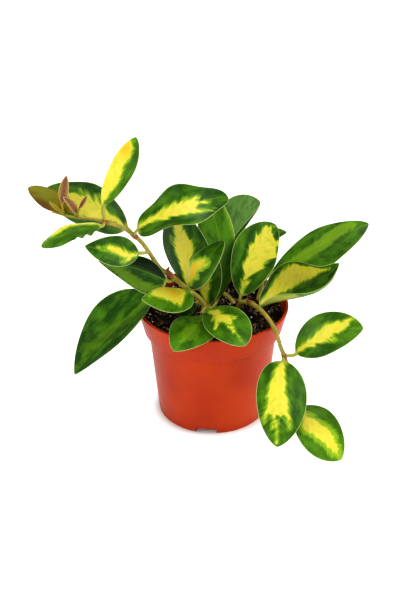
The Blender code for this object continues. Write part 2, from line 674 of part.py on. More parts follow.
def main():
    clear_scene()
    build_pot(material(*ORANGE_PLASTIC))
    build_soil(material(*POTTING_MIX))
    bark = material(*STEM_BARK)
    for stem in STEMS:
        build_stem(stem, bark)
    build_shoot(material(*YOUNG_GROWTH))
    green = material(*WAXY_LEAF)
    olive = material(*YOUNG_LEAF)
    for leaf in LEAVES:
        build_leaf(leaf, olive if leaf.young else green)


main()
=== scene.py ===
"""Looks of the potted hoya: waxy variegated leaves on two vines and short stems, in an orange nursery pot.

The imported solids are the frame. Every leaf, stem, the young shoot, the soil and the pot get a finer mesh
that keeps its solid's form and place, and a procedural finish. Sizes are in millimetres and degrees
unless a name says otherwise, and MM turns them into metres.
"""

import json
import logging
import math
from dataclasses import dataclass, field
from enum import Enum

import bmesh
import bpy
import numpy as np
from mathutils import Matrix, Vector

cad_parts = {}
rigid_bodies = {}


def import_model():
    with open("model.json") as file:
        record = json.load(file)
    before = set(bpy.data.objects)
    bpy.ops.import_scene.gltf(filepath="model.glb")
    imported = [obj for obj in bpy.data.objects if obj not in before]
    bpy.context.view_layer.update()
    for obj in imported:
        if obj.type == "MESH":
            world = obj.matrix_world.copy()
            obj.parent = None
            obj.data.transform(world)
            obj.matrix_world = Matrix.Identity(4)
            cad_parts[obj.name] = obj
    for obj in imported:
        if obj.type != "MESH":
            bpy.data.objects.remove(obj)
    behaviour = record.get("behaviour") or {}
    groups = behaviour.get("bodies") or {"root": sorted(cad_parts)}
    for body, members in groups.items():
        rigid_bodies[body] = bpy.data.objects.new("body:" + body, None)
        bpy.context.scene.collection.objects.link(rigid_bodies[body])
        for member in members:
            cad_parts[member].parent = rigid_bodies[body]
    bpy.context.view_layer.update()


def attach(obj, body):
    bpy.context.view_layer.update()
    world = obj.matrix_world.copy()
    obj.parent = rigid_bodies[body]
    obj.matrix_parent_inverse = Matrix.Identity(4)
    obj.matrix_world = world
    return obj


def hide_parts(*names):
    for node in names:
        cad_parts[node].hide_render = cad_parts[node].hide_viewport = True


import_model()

log = logging.getLogger("potted_hoya")

MM = 0.001
UP = np.array((0.0, 0.0, 1.0))
ROOT = "root"

# Where the Mix node keeps its share, its two colours and its result
MIX_SHARE, MIX_FIRST, MIX_SECOND, MIX_RESULT = 0, 6, 7, 2
# Where the Random Value node keeps its lowest value, its highest value and its result
RANDOM_SOCKETS = {"FLOAT": (2, 3, 1), "FLOAT_VECTOR": (0, 1, 0)}

Colour = tuple[float, float, float]
Point = tuple[float, float, float]
Array = np.ndarray
Material = bpy.types.Material
Mesh = bpy.types.Mesh
Node = bpy.types.Node
Object = bpy.types.Object
Socket = bpy.types.NodeSocket


class Slot(Enum):
    """The record's material slots."""

    PLASTIC = "orange_plastic"
    SOIL = "potting_mix"
    STEM = "vine_bark"
    SHOOT = "young_growth"
    YOUNG_LEAF = "young_leaf"
    LEAF = "variegated_leaf"


class Face(Enum):
    """Which face of a blade is turned toward the front."""

    UPPER = 0
    UNDER = 1


# Node graphs


@dataclass(frozen=True)
class Ramp:
    """A smooth step of a pattern, from none of it at low to the most of it at high."""

    low: float
    high: float
    most: float = 1.0


class Graph:
    """A node tree with short helpers that take either sockets or plain numbers."""

    def __init__(self, tree: bpy.types.NodeTree) -> None:
        """Starts on an existing tree.

        Args:
            tree: The tree that the nodes are added to.
        """
        self.tree = tree

    def node(self, kind: str, **settings: object) -> Node:
        """Adds a node.

        Args:
            kind: Blender's name for the node type.
            **settings: Properties to set on the node.

        Returns:
            The new node.
        """
        new = self.tree.nodes.new(kind)
        for name, value in settings.items():
            setattr(new, name, value)
        return new

    def feed(self, target: Socket, value: object) -> None:
        """Links a socket into another one, or sets a plain value on it.

        Args:
            target: The input that receives the value.
            value: A socket, a number or a tuple.
        """
        if isinstance(value, Socket):
            self.tree.links.new(value, target)
        elif isinstance(value, tuple) and target.type == "RGBA":
            target.default_value = (*value, 1.0)
        else:
            target.default_value = value

    def math(self, operation: str, *values: object, clamp: bool = False) -> Socket:
        """Adds a Math node.

        Args:
            operation: Blender's name for the operation.
            *values: Sockets or numbers for its inputs.
            clamp: Whether the result is kept between 0 and 1.

        Returns:
            The result's socket.
        """
        new = self.node("ShaderNodeMath", operation=operation, use_clamp=clamp)
        for target, value in zip(new.inputs, values):
            self.feed(target, value)
        return new.outputs[0]

    def plus(self, first: object, second: object) -> Socket:
        """The sum of two values."""
        return self.math("ADD", first, second)

    def less(self, first: object, second: object) -> Socket:
        """The first value less the second."""
        return self.math("SUBTRACT", first, second)

    def times(self, first: object, second: object) -> Socket:
        """The product of two values."""
        return self.math("MULTIPLY", first, second)

    def over(self, first: object, second: object) -> Socket:
        """The first value divided by the second."""
        return self.math("DIVIDE", first, second)

    def total(self, *terms: tuple[Socket, float]) -> Socket:
        """The weighted sum of some patterns.

        Args:
            *terms: Each pattern with its weight.

        Returns:
            The sum's socket.
        """
        parts = [self.times(value, weight) for value, weight in terms]
        total = parts[0]
        for part in parts[1:]:
            total = self.plus(total, part)
        return total

    def from_axis(self, x: Socket, y: Socket) -> Socket:
        """The distance from the upright axis through the origin."""
        return self.math("SQRT", self.plus(self.times(x, x), self.times(y, y)))

    def mix(self, share: object, first: object, second: object) -> Socket:
        """Blends two colours.

        Args:
            share: How much of the second colour shows, from 0 to 1.
            first: A colour or its socket.
            second: A colour or its socket.

        Returns:
            The blended colour's socket.
        """
        new = self.node("ShaderNodeMix", data_type="RGBA")
        self.feed(new.inputs[MIX_SHARE], share)
        self.feed(new.inputs[MIX_FIRST], first)
        self.feed(new.inputs[MIX_SECOND], second)
        return new.outputs[MIX_RESULT]

    def ramp(self, value: Socket, ramp: Ramp) -> Socket:
        """Steps a pattern smoothly.

        Args:
            value: The socket that drives the step.
            ramp: Where the step starts and ends, and how far it goes.

        Returns:
            The stepped value's socket.
        """
        new = self.node("ShaderNodeMapRange", interpolation_type="SMOOTHSTEP")
        for target, item in zip(new.inputs, (value, ramp.low, ramp.high)):
            self.feed(target, item)
        return new.outputs[0] if ramp.most == 1.0 else self.times(new.outputs[0], ramp.most)

    def vector(self, x: object, y: object, z: object) -> Socket:
        """Joins three values into a vector.

        Args:
            x: The first value or its socket.
            y: The second one.
            z: The third one.

        Returns:
            The vector's socket.
        """
        new = self.node("ShaderNodeCombineXYZ")
        for target, item in zip(new.inputs, (x, y, z)):
            self.feed(target, item)
        return new.outputs[0]

    def parts(self, vector: Socket) -> tuple[Socket, Socket, Socket]:
        """Splits a vector into its three values.

        Args:
            vector: The vector's socket.

        Returns:
            The sockets of the three values.
        """
        new = self.node("ShaderNodeSeparateXYZ")
        self.feed(new.inputs[0], vector)
        return new.outputs[0], new.outputs[1], new.outputs[2]

    def scaled(self, vector: Socket, scale: object) -> Socket:
        """Multiplies a vector by a number.

        Args:
            vector: The vector's socket.
            scale: The number or its socket.

        Returns:
            The longer or shorter vector.
        """
        new = self.node("ShaderNodeVectorMath", operation="SCALE")
        self.feed(new.inputs[0], vector)
        self.feed(new.inputs["Scale"], scale)
        return new.outputs[0]

    def noise(self, vector: Socket, scale: float = 1.0, detail: float = 2.0,
              roughness: float = 0.5) -> Socket:
        """Adds a noise pattern.

        Args:
            vector: Where the pattern is read.
            scale: How often it repeats in a unit of the vector.
            detail: How many finer layers it has.
            roughness: How strong the finer layers are.

        Returns:
            The pattern's value, about 0.5 on average.
        """
        new = self.node("ShaderNodeTexNoise")
        self.feed(new.inputs["Vector"], vector)
        for name, item in (("Scale", scale), ("Detail", detail), ("Roughness", roughness)):
            new.inputs[name].default_value = item
        return new.outputs[0]


class Surface(Graph):
    """A material's node tree with one Principled shader."""

    def __init__(self, name: str, roughness: float, specular: float) -> None:
        """Creates the material.

        Args:
            name: The material's name.
            roughness: The shader's roughness where nothing drives it.
            specular: The strength of its reflections.
        """
        self.material = bpy.data.materials.new(name)
        self.material.use_nodes = True
        super().__init__(self.material.node_tree)
        self.shader = self.tree.nodes["Principled BSDF"]
        self.shader.inputs["Roughness"].default_value = roughness
        self.shader.inputs["Specular IOR Level"].default_value = specular

    def attribute(self, name: str) -> Socket:
        """Reads a vector attribute of the mesh."""
        return self.node("ShaderNodeAttribute", attribute_name=name).outputs["Vector"]

    def millimetres(self) -> Socket:
        """Reads the object coordinates in millimetres."""
        return self.scaled(self.node("ShaderNodeTexCoord").outputs["Object"], 1.0 / MM)

    def colour(self, value: object) -> None:
        """Sets or links the base colour."""
        self.feed(self.shader.inputs["Base Color"], value)

    def roughness(self, value: Socket) -> None:
        """Links the roughness."""
        self.feed(self.shader.inputs["Roughness"], value)

    def bump(self, height: Socket, depth: float, strength: float) -> None:
        """Raises the surface by a height pattern.

        Args:
            height: The pattern's socket.
            depth: The relief's height in millimetres for a pattern value of 1.
            strength: How much of the relief is seen.
        """
        new = self.node("ShaderNodeBump")
        new.inputs["Strength"].default_value = strength
        new.inputs["Distance"].default_value = depth * MM
        self.feed(new.inputs["Height"], height)
        self.feed(self.shader.inputs["Normal"], new.outputs[0])


@dataclass(frozen=True)
class Streak:
    """A noise drawn out along a leaf's side veins, about 0 on average.

    pitch and reach are its size across and along the veins in millimetres. shift moves it to another
    place in the noise, and detail is its number of finer layers.
    """

    pitch: float
    reach: float
    shift: float
    detail: float = 3.0


class BladeSurface(Surface):
    """A leaf's material, which reads its places on the blade from the mesh."""

    cloud_detail: float = 3.0

    def __init__(self, name: str, roughness: float, specular: float, cloud_size: tuple[float, float]) -> None:
        """Creates the material and reads what all blades have.

        Args:
            name: The material's name.
            roughness: The shader's roughness where nothing drives it.
            specular: The strength of its reflections.
            cloud_size: How wide its soft clouds of colour are along and across the blade, in millimetres.
        """
        super().__init__(name, roughness, specular)
        self.along, self.across, self.seed = self.parts(self.attribute("blade"))
        self.under, self.rim, self.stalk = self.parts(self.attribute("skin"))
        long, wide = cloud_size
        place = self.vector(self.over(self.along, long), self.over(self.across, wide), self.seed)
        self.cloud = self.noise(place, detail=self.cloud_detail)


class VeinedSurface(BladeSurface):
    """A blade's material with patterns that run out along its side veins."""

    half_shift: float = 3.7

    def __init__(self, name: str, roughness: float, specular: float, cloud_size: tuple[float, float],
                 vein_slope: float) -> None:
        """Creates the material and its places along the veins.

        Args:
            name: The material's name.
            roughness: The shader's roughness where nothing drives it.
            specular: The strength of its reflections.
            cloud_size: How wide its clouds are along and across the blade, in millimetres.
            vein_slope: How far a vein runs toward the tip for each millimetre outward.
        """
        super().__init__(name, roughness, specular, cloud_size)
        self.out = self.math("ABSOLUTE", self.across)
        self.half_seed = self.plus(self.seed, self.times(self.math("SIGN", self.across), self.half_shift))
        self.sweep = self.less(self.along, self.times(self.out, vein_slope))

    def streaks(self, kind: Streak) -> Socket:
        """Draws a streaked noise.

        Args:
            kind: Its sizes.

        Returns:
            The pattern's socket.
        """
        place = self.vector(self.over(self.sweep, kind.pitch), self.over(self.out, kind.reach),
                            self.plus(self.half_seed, kind.shift))
        return self.less(self.noise(place, detail=kind.detail), 0.5)


# Finishes


@dataclass(frozen=True)
class WaxyLeaf:
    """The variegated leaf: dark green with a lime fringe round a feathered yellow patch."""

    name: str = "waxy variegated leaf"
    # deep is painted shade: the near black of a shadowed fold, which the lowest tones reach
    deep: Colour = (0.004, 0.014, 0.001)
    dark: Colour = (0.012, 0.060, 0.002)
    mid: Colour = (0.075, 0.20, 0.006)
    lime: Colour = (0.27, 0.46, 0.018)
    yellow: Colour = (0.69, 0.60, 0.050)
    cream: Colour = (0.74, 0.68, 0.20)
    orange: Colour = (0.82, 0.42, 0.010)
    # margin is the pale line along the edge: partly the leaf's pale rim, partly painted highlight on its
    # rounded edge
    margin: Colour = (0.46, 0.54, 0.20)
    under: Colour = (0.13, 0.26, 0.055)
    under_patch: Colour = (0.60, 0.62, 0.10)
    stalk: Colour = (0.36, 0.36, 0.06)
    vein_slope: float = 0.85
    vein_pitch: float = 6.5
    cloud_size: tuple[float, float] = (17.0, 9.0)
    mottle_size: float = 4.5
    # The patterns along the veins, and how far the first three move the patch's edges in millimetres:
    # its own edge takes two of them, and its fringe takes a share of those and the third
    fingers: Streak = Streak(4.2, 20.0, 0.0, 2.0)
    fine_fingers: Streak = Streak(1.1, 9.0, 5.0, 2.0)
    fringe: Streak = Streak(2.2, 12.0, 9.0, 2.0)
    flecks: Streak = Streak(0.8, 3.5, 13.0)
    speckles: Streak = Streak(1.6, 10.0, 17.0)
    washes: Streak = Streak(1.5, 8.0, 29.0)
    finger_length: float = 7.0
    fine_length: float = 3.2
    fringe_length: float = 4.0
    fringe_share: float = 0.8
    # Where each pattern starts and ends, and how strongly it shows
    patch_edge: Ramp = Ramp(-0.6, 0.6)
    patch_heart: Ramp = Ramp(0.4, 2.6)
    fringe_edge: Ramp = Ramp(-1.4, 1.9)
    pale_cloud: Ramp = Ramp(0.34, 0.74)
    warm_cloud: Ramp = Ramp(0.25, 0.62)
    lime_fleck: Ramp = Ramp(0.05, 0.28, 0.18)
    dark_mottle: Ramp = Ramp(0.46, 0.30, 0.55)
    lime_mottle: Ramp = Ramp(0.50, 0.68, 0.36)
    midrib_glow: Ramp = Ramp(0.7, 0.15, 0.22)
    painted_shade_tone: Ramp = Ramp(-0.5, -1.2)
    cream_speckle: Ramp = Ramp(-0.05, 0.22)
    cream_share: float = 0.35
    wash_edge: Ramp = Ramp(0.06, 0.28)
    wash_share: float = 0.6
    wash_heart_share: float = 0.5
    under_shade: float = 0.5
    under_mottle: Ramp = Ramp(0.42, 0.62, 0.4)
    under_edge: Ramp = Ramp(-2.0, 3.0, 0.75)
    margin_edge: Ramp = Ramp(0.35, 0.85, 0.8)
    vein_edge: Ramp = Ramp(0.0, 0.5)
    # The relief's heights are those of fine grain, veins and soft swells, its depth is in millimetres,
    # and gloss holds the roughness that the grain and the underside add, and the least of it
    grain_scale: float = 2.2
    heights: tuple[float, float, float] = (0.30, 0.10, 1.8)
    relief_depth: float = 0.25
    relief_strength: float = 0.6
    gloss: tuple[float, float, float] = (0.16, 0.14, 0.29)

    def green(self, s: VeinedSurface, shade: Socket, mottle: Socket, tone: Socket) -> Socket:
        """The green of the upper face.

        Args:
            s: The surface.
            shade: How light the green is, from 0 to 1.
            mottle: The blotches.
            tone: The leaf's own lightness, with the painted shade of a shadowed half. Its lowest
            values turn the green into the near black painted shade.

        Returns:
            The colour's socket.
        """
        green = s.mix(shade, self.dark, self.mid)
        green = s.mix(s.ramp(s.streaks(self.flecks), self.lime_fleck), green, self.lime)
        green = s.mix(s.ramp(mottle, self.dark_mottle), green, self.dark)
        green = s.mix(s.ramp(s.out, self.midrib_glow), green, self.lime)
        # Painted shade: the lowest tones turn the green near black, as in a shadowed fold
        return s.mix(s.ramp(tone, self.painted_shade_tone), green, self.deep)

    def gold(self, s: VeinedSurface, core: Socket, mottle: Socket, warm: Socket) -> Socket:
        """The yellow of the patch.

        Args:
            s: The surface.
            core: How deep inside the patch a place is, in millimetres.
            mottle: The blotches.
            warm: How orange it is, from 0 to 1.

        Returns:
            The colour's socket.
        """
        heart = s.ramp(core, self.patch_heart)
        speckle = s.times(s.ramp(s.streaks(self.speckles), self.cream_speckle), heart)
        gold = s.mix(s.times(speckle, self.cream_share), self.yellow, self.cream)
        gold = s.mix(s.times(warm, s.ramp(s.cloud, self.warm_cloud)), gold, self.orange)
        washed = s.less(self.wash_share, s.times(heart, self.wash_heart_share))
        gold = s.mix(s.times(s.ramp(s.streaks(self.washes), self.wash_edge), washed), gold, self.lime)
        return s.mix(s.ramp(mottle, self.lime_mottle), gold, self.lime)

    def relief(self, s: VeinedSurface) -> None:
        """Raises the veins and swells, and varies the gloss.

        Args:
            s: The surface.
        """
        grain = s.noise(s.millimetres(), scale=self.grain_scale, detail=3.0)
        ribs = s.math("ABSOLUTE", s.math("SINE", s.times(s.sweep, 2 * math.pi / self.vein_pitch)))
        fine, vein, swell = self.heights
        s.bump(s.total((grain, fine), (s.ramp(ribs, self.vein_edge), vein), (s.cloud, swell)),
               depth=self.relief_depth, strength=self.relief_strength)
        rough_grain, rough_under, least = self.gloss
        s.roughness(s.plus(s.total((grain, rough_grain), (s.under, rough_under)), least))

    def build(self) -> Material:
        """Draws the leaf's colours from the blade attributes.

        Returns:
            The material.
        """
        s = VeinedSurface(self.name, roughness=0.38, specular=0.14, cloud_size=self.cloud_size,
                          vein_slope=self.vein_slope)
        patch, glow, warm = s.parts(s.attribute("mark"))
        tone, ragged, glow_strength = s.parts(s.attribute("habit"))
        edge = s.total((s.times(s.streaks(self.fingers), ragged), self.finger_length),
                       (s.streaks(self.fine_fingers), self.fine_length))
        core = s.plus(patch, edge)
        shift = s.total((edge, self.fringe_share), (s.streaks(self.fringe), self.fringe_length))
        fringe = s.plus(glow, shift)
        place = s.vector(s.over(s.sweep, self.mottle_size), s.over(s.out, self.mottle_size), s.half_seed)
        mottle = s.noise(place, detail=5.0)
        shade = s.math("ADD", s.ramp(s.cloud, self.pale_cloud), tone, clamp=True)
        lime = s.times(s.ramp(fringe, self.fringe_edge), glow_strength)
        green = s.mix(lime, self.green(s, shade, mottle, tone), self.lime)
        upper = s.mix(s.ramp(core, self.patch_edge), green, self.gold(s, core, mottle, warm))
        lower = s.mix(s.times(shade, self.under_shade), self.under, self.mid)
        lower = s.mix(s.ramp(mottle, self.under_mottle), lower, self.dark)
        lower = s.mix(s.ramp(patch, self.under_edge), lower, self.under_patch)
        blade = s.mix(s.under, upper, lower)
        # The pale margin: partly the leaf's own rim colour, partly painted highlight on the rounded edge
        blade = s.mix(s.ramp(s.rim, self.margin_edge), blade, self.margin)
        s.colour(s.mix(s.stalk, blade, self.stalk))
        self.relief(s)
        return s.material


@dataclass(frozen=True)
class YoungLeafSkin:
    """The young leaf at the vine's end: olive, with a red brown edge and an orange flush near its base."""

    name: str = "olive young leaf"
    olive: Colour = (0.185, 0.180, 0.005)
    brown: Colour = (0.12, 0.060, 0.004)
    flush: Colour = (0.42, 0.20, 0.012)
    margin: Colour = (0.17, 0.05, 0.012)
    stalk: Colour = (0.42, 0.36, 0.06)
    cloud_size: tuple[float, float] = (9.0, 5.0)
    drift: float = 12.0
    olive_edge: Ramp = Ramp(-7.0, 2.0)
    flush_reach: Ramp = Ramp(22.0, 4.0)
    flush_cloud: Ramp = Ramp(0.35, 0.65)
    flush_share: float = 0.65
    margin_edge: Ramp = Ramp(0.1, 0.9, 0.75)

    def build(self) -> Material:
        """Draws the young leaf's colours.

        Returns:
            The material.
        """
        s = BladeSurface(self.name, roughness=0.38, specular=0.14, cloud_size=self.cloud_size)
        drift = s.times(s.less(s.cloud, 0.5), self.drift)
        base = s.mix(s.ramp(s.plus(s.across, drift), self.olive_edge), self.brown, self.olive)
        near = s.times(s.ramp(s.along, self.flush_reach), s.ramp(s.cloud, self.flush_cloud))
        base = s.mix(s.times(near, self.flush_share), base, self.flush)
        base = s.mix(s.ramp(s.rim, self.margin_edge), base, self.margin)
        s.colour(s.mix(s.stalk, base, self.stalk))
        s.bump(s.noise(s.millimetres(), scale=1.2, detail=3.0), depth=0.20, strength=0.6)
        return s.material


@dataclass(frozen=True)
class YoungGrowth:
    """The reddish tip leaves and buds: a purple pink middle, olive brown sides and a pale edge."""

    name: str = "reddish young growth"
    outer: Colour = (0.29, 0.195, 0.040)
    pink: Colour = (0.22, 0.082, 0.046)
    dusk: Colour = (0.070, 0.034, 0.016)
    olive: Colour = (0.36, 0.30, 0.03)
    edge: Colour = (0.52, 0.38, 0.14)
    cloud_size: tuple[float, float] = (4.0, 1.5)
    drift: float = 3.0
    centre_reach: Ramp = Ramp(2.4, 0.9)
    dusk_cloud: Ramp = Ramp(0.52, 0.70, 0.7)
    pale_edge: Ramp = Ramp(0.1, 0.8, 0.8)
    under_share: float = 0.6
    green_share: float = 0.8

    def build(self) -> Material:
        """Draws the tip's colours.

        Returns:
            The material.
        """
        s = BladeSurface(self.name, roughness=0.42, specular=0.15, cloud_size=self.cloud_size)
        greenness = s.parts(s.attribute("habit"))[0]
        drift = s.times(s.less(s.cloud, 0.5), self.drift)
        centre = s.ramp(s.plus(s.math("ABSOLUTE", s.across), drift), self.centre_reach)
        base = s.mix(centre, self.outer, self.pink)
        base = s.mix(s.ramp(s.cloud, self.dusk_cloud), base, self.dusk)
        base = s.mix(s.times(s.under, self.under_share), base, self.olive)
        base = s.mix(s.ramp(s.rim, self.pale_edge), base, self.edge)
        base = s.mix(s.times(greenness, self.green_share), base, self.olive)
        s.colour(s.mix(s.stalk, base, self.olive))
        s.bump(s.noise(s.millimetres(), scale=2.0, detail=3.0), depth=0.15, strength=0.6)
        return s.material


@dataclass(frozen=True)
class StemSkin:
    """Stem skin: olive green to tan, with red brown nodes and small pale flecks."""

    name: str = "olive tan stem"
    olive: Colour = (0.25, 0.24, 0.025)
    tan: Colour = (0.42, 0.29, 0.06)
    node: Colour = (0.27, 0.095, 0.030)
    fleck: Colour = (0.50, 0.40, 0.20)
    dark: Colour = (0.10, 0.06, 0.02)
    streak_length: float = 7.0
    streaks_around: float = 1.2
    tan_streak: Ramp = Ramp(0.38, 0.66)
    pale_fleck: Ramp = Ramp(0.60, 0.74, 0.5)
    dark_fleck: Ramp = Ramp(0.42, 0.30, 0.5)
    node_reach: Ramp = Ramp(0.15, 0.8)

    def build(self) -> Material:
        """Draws the stem's colours along its length.

        Returns:
            The material.
        """
        s = Surface(self.name, roughness=0.46, specular=0.22)
        along, around, knot = s.parts(s.attribute("skin"))
        place = s.vector(s.over(along, self.streak_length), s.times(around, self.streaks_around), 0.0)
        streak = s.noise(place, detail=4.0, roughness=0.6)
        base = s.mix(s.ramp(streak, self.tan_streak), self.olive, self.tan)
        grain = s.noise(s.millimetres(), scale=1.6, detail=4.0, roughness=0.6)
        base = s.mix(s.ramp(grain, self.pale_fleck), base, self.fleck)
        base = s.mix(s.ramp(grain, self.dark_fleck), base, self.dark)
        s.colour(s.mix(s.ramp(knot, self.node_reach), base, self.node))
        s.bump(s.plus(grain, streak), depth=0.25, strength=0.7)
        return s.material


@dataclass(frozen=True)
class PotPlastic:
    """Moulded orange plastic with a satin skin, faint dust, and painted shade and peat stains inside the rim.

    inside_radius and inside_flare give a cone between the pot's two faces, which tells the inside from
    the outside.
    """

    name: str = "orange pot plastic"
    body: Colour = (0.37, 0.028, 0.001)
    light: Colour = (0.42, 0.038, 0.001)
    dust: Colour = (0.55, 0.15, 0.05)
    # The dark of the inside wall: painted shade over all of it, with peat-stained patches near the soil
    shade_and_stain: Colour = (0.11, 0.022, 0.006)
    inside_radius: float = 36.1
    inside_flare: float = 0.226
    inside_edge: Ramp = Ramp(-0.4, 0.4)
    light_cloud: Ramp = Ramp(0.35, 0.65)
    dust_speck: Ramp = Ramp(0.66, 0.80, 0.35)
    shade_and_stain_foot: Ramp = Ramp(75.0, 77.0)
    shade_and_stain_fade: Ramp = Ramp(94.0, 85.0)
    stain_patch: Ramp = Ramp(0.6, 1.2, 0.4)
    # At least this share of the dark covers the whole inside wall: painted shade
    least_inside_shade: float = 0.5
    gloss_spread: float = 0.14
    gloss_least: float = 0.34

    def build(self) -> Material:
        """Draws the plastic.

        Returns:
            The material.
        """
        s = Surface(self.name, roughness=0.42, specular=0.13)
        place = s.millimetres()
        cloud = s.noise(place, scale=0.03, detail=3.0)
        speck = s.noise(place, scale=0.9, detail=4.0, roughness=0.7)
        base = s.mix(s.ramp(cloud, self.light_cloud), self.body, self.light)
        base = s.mix(s.ramp(speck, self.dust_speck), base, self.dust)
        x, y, height = s.parts(place)
        # The inside wall gets painted shade, half strength everywhere and more in patches toward the soil,
        # where peat stains it
        wall = s.plus(s.times(height, self.inside_flare), self.inside_radius)
        inside = s.times(s.ramp(s.less(wall, s.from_axis(x, y)), self.inside_edge),
                         s.ramp(height, self.shade_and_stain_foot))
        patches_and_depth = s.plus(s.noise(place, scale=0.25, detail=4.0), s.ramp(height, self.shade_and_stain_fade))
        strength = s.plus(s.ramp(patches_and_depth, self.stain_patch), self.least_inside_shade)
        s.colour(s.mix(s.times(inside, strength), base, self.shade_and_stain))
        gloss = s.times(s.noise(place, scale=0.25, detail=3.0), self.gloss_spread)
        s.roughness(s.plus(gloss, self.gloss_least))
        s.bump(s.noise(place, scale=1.1, detail=2.0), depth=0.03, strength=0.5)
        return s.material


@dataclass(frozen=True)
class LooseMatter:
    """A loose stuff in the soil, in two colours that mix from grain to grain."""

    name: str
    first: Colour
    second: Colour
    pitch: float
    roughness: float = 0.9
    relief: float = 0.3
    blend: Ramp = Ramp(0.38, 0.64)

    def build(self) -> Material:
        """Draws the stuff.

        Returns:
            The material.
        """
        s = Surface(self.name, roughness=self.roughness, specular=0.1)
        place = s.millimetres()
        grain = s.noise(place, scale=1.0 / self.pitch, detail=4.0, roughness=0.65)
        s.colour(s.mix(s.ramp(grain, self.blend), self.first, self.second))
        s.bump(s.noise(place, scale=2.0, detail=4.0), depth=self.relief, strength=0.8)
        return s.material


# Meshes


def unit(vector: Array) -> Array:
    """The vector at length 1."""
    return vector / np.linalg.norm(vector)


def smoothstep(value: Array | float, low: float, high: float) -> Array:
    """Steps smoothly from 0 at low to 1 at high."""
    t = np.clip((np.asarray(value, dtype=float) - low) / (high - low), 0.0, 1.0)
    return t * t * (3.0 - 2.0 * t)


def smooth_route(points: tuple[Point, ...], steps: int) -> Array:
    """A Catmull-Rom curve through the points.

    Args:
        points: The places that the curve passes.
        steps: The number of steps from one point to the next.

    Returns:
        The curve's points.
    """
    given = np.array(points, dtype=float)
    padded = np.vstack((2 * given[0] - given[1], given, 2 * given[-1] - given[-2]))
    route = []
    for p0, p1, p2, p3 in zip(padded, padded[1:], padded[2:], padded[3:]):
        for t in np.arange(steps) / steps:
            route.append(0.5 * (2 * p1 + (p2 - p0) * t + (2 * p0 - 5 * p1 + 4 * p2 - p3) * t ** 2
                                + (3 * p1 - p0 - 3 * p2 + p3) * t ** 3))
    route.append(given[-1])
    return np.array(route)


def directions(path: Array) -> Array:
    """The unit direction of a path at each of its points."""
    steps = np.gradient(path, axis=0)
    return steps / np.linalg.norm(steps, axis=1)[:, None]


def new_object(name: str, mesh: Mesh, material: Material | None = None) -> Object:
    """Puts a mesh into the scene.

    Args:
        name: The object's name.
        mesh: Its mesh.
        material: The finish, if it has one yet.

    Returns:
        The new object.
    """
    obj = bpy.data.objects.new(name, mesh)
    bpy.context.scene.collection.objects.link(obj)
    if material is not None:
        mesh.materials.append(material)
    return obj


def plain_mesh(name: str, bm: bmesh.types.BMesh) -> Mesh:
    """Turns a mesh under construction into a plain one.

    Args:
        name: The new mesh's name.
        bm: The mesh under construction, which is freed.

    Returns:
        The new mesh.
    """
    mesh = bpy.data.meshes.new(name)
    bm.to_mesh(mesh)
    bm.free()
    return mesh


def bake(obj: Object) -> Mesh:
    """Turns an object's modifiers into a plain mesh.

    Args:
        obj: The object, which keeps the new mesh and no modifier.

    Returns:
        The new mesh.
    """
    graph = bpy.context.evaluated_depsgraph_get()
    mesh = bpy.data.meshes.new_from_object(obj.evaluated_get(graph))
    obj.modifiers.clear()
    obj.data = mesh
    mesh.shade_smooth()
    return mesh


def dress(obj: Object, slot: Slot, *nodes: str) -> None:
    """Makes a piece ride on the one body and stand for its solids.

    Args:
        obj: The finished piece.
        slot: The record's material slot for it; not used.
        *nodes: The solids that it stands for.
    """
    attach(obj, ROOT)
    if nodes:
        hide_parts(*nodes)
    log.info("%s: %d faces", obj.name, len(obj.data.polygons))


@dataclass
class Loft:
    """Rings of points closed into one skin, with a vector attribute for each named map."""

    rings: list[Array] = field(default_factory=list)
    maps: dict[str, list[Array]] = field(default_factory=dict)

    def add(self, ring: Array, **values: Array) -> None:
        """Adds a ring.

        Args:
            ring: Its points.
            **values: For each map, one vector a point.
        """
        self.rings.append(ring)
        for name, rows in values.items():
            self.maps.setdefault(name, []).append(rows)

    def mesh(self, name: str) -> Mesh:
        """Closes the rings with a fan at each end.

        Args:
            name: The mesh's name.

        Returns:
            The mesh, with its faces pointing outward.
        """
        count = len(self.rings[0])
        points = np.vstack([*self.rings, self.rings[0].mean(axis=0), self.rings[-1].mean(axis=0)])
        turn = np.arange(count)
        ahead = (turn + 1) % count
        faces: list[tuple[int, ...]] = []
        for row in range(len(self.rings) - 1):
            low, high = row * count, (row + 1) * count
            faces += list(zip(low + turn, low + ahead, high + ahead, high + turn))
        first, last = len(points) - 2, len(points) - 1
        top = (len(self.rings) - 1) * count
        faces += [(first, b, a) for a, b in zip(turn, ahead)]
        faces += [(last, top + a, top + b) for a, b in zip(turn, ahead)]
        mesh = bpy.data.meshes.new(name)
        mesh.from_pydata((points * MM).tolist(), [], [tuple(int(i) for i in face) for face in faces])
        for title, rows in self.maps.items():
            values = np.vstack([*rows, rows[0].mean(axis=0), rows[-1].mean(axis=0)])
            attribute = mesh.attributes.new(title, "FLOAT_VECTOR", "POINT")
            attribute.data.foreach_set("vector", values.astype(np.float32).ravel())
        point_outward(mesh)
        mesh.shade_smooth()
        return mesh


def point_outward(mesh: Mesh) -> None:
    """Turns every face of a closed mesh outward.

    Args:
        mesh: The mesh, which is changed in place.
    """
    bm = bmesh.new()
    bm.from_mesh(mesh)
    bmesh.ops.recalc_face_normals(bm, faces=bm.faces)
    bm.to_mesh(mesh)
    bm.free()


def join(name: str, parts: list[Mesh]) -> Mesh:
    """Puts several meshes into one.

    Args:
        name: The new mesh's name.
        parts: The meshes, which keep their attributes.

    Returns:
        The joined mesh.
    """
    bm = bmesh.new()
    for part in parts:
        bm.from_mesh(part)
    mesh = plain_mesh(name, bm)
    mesh.shade_smooth()
    return mesh


# Geometry node trees


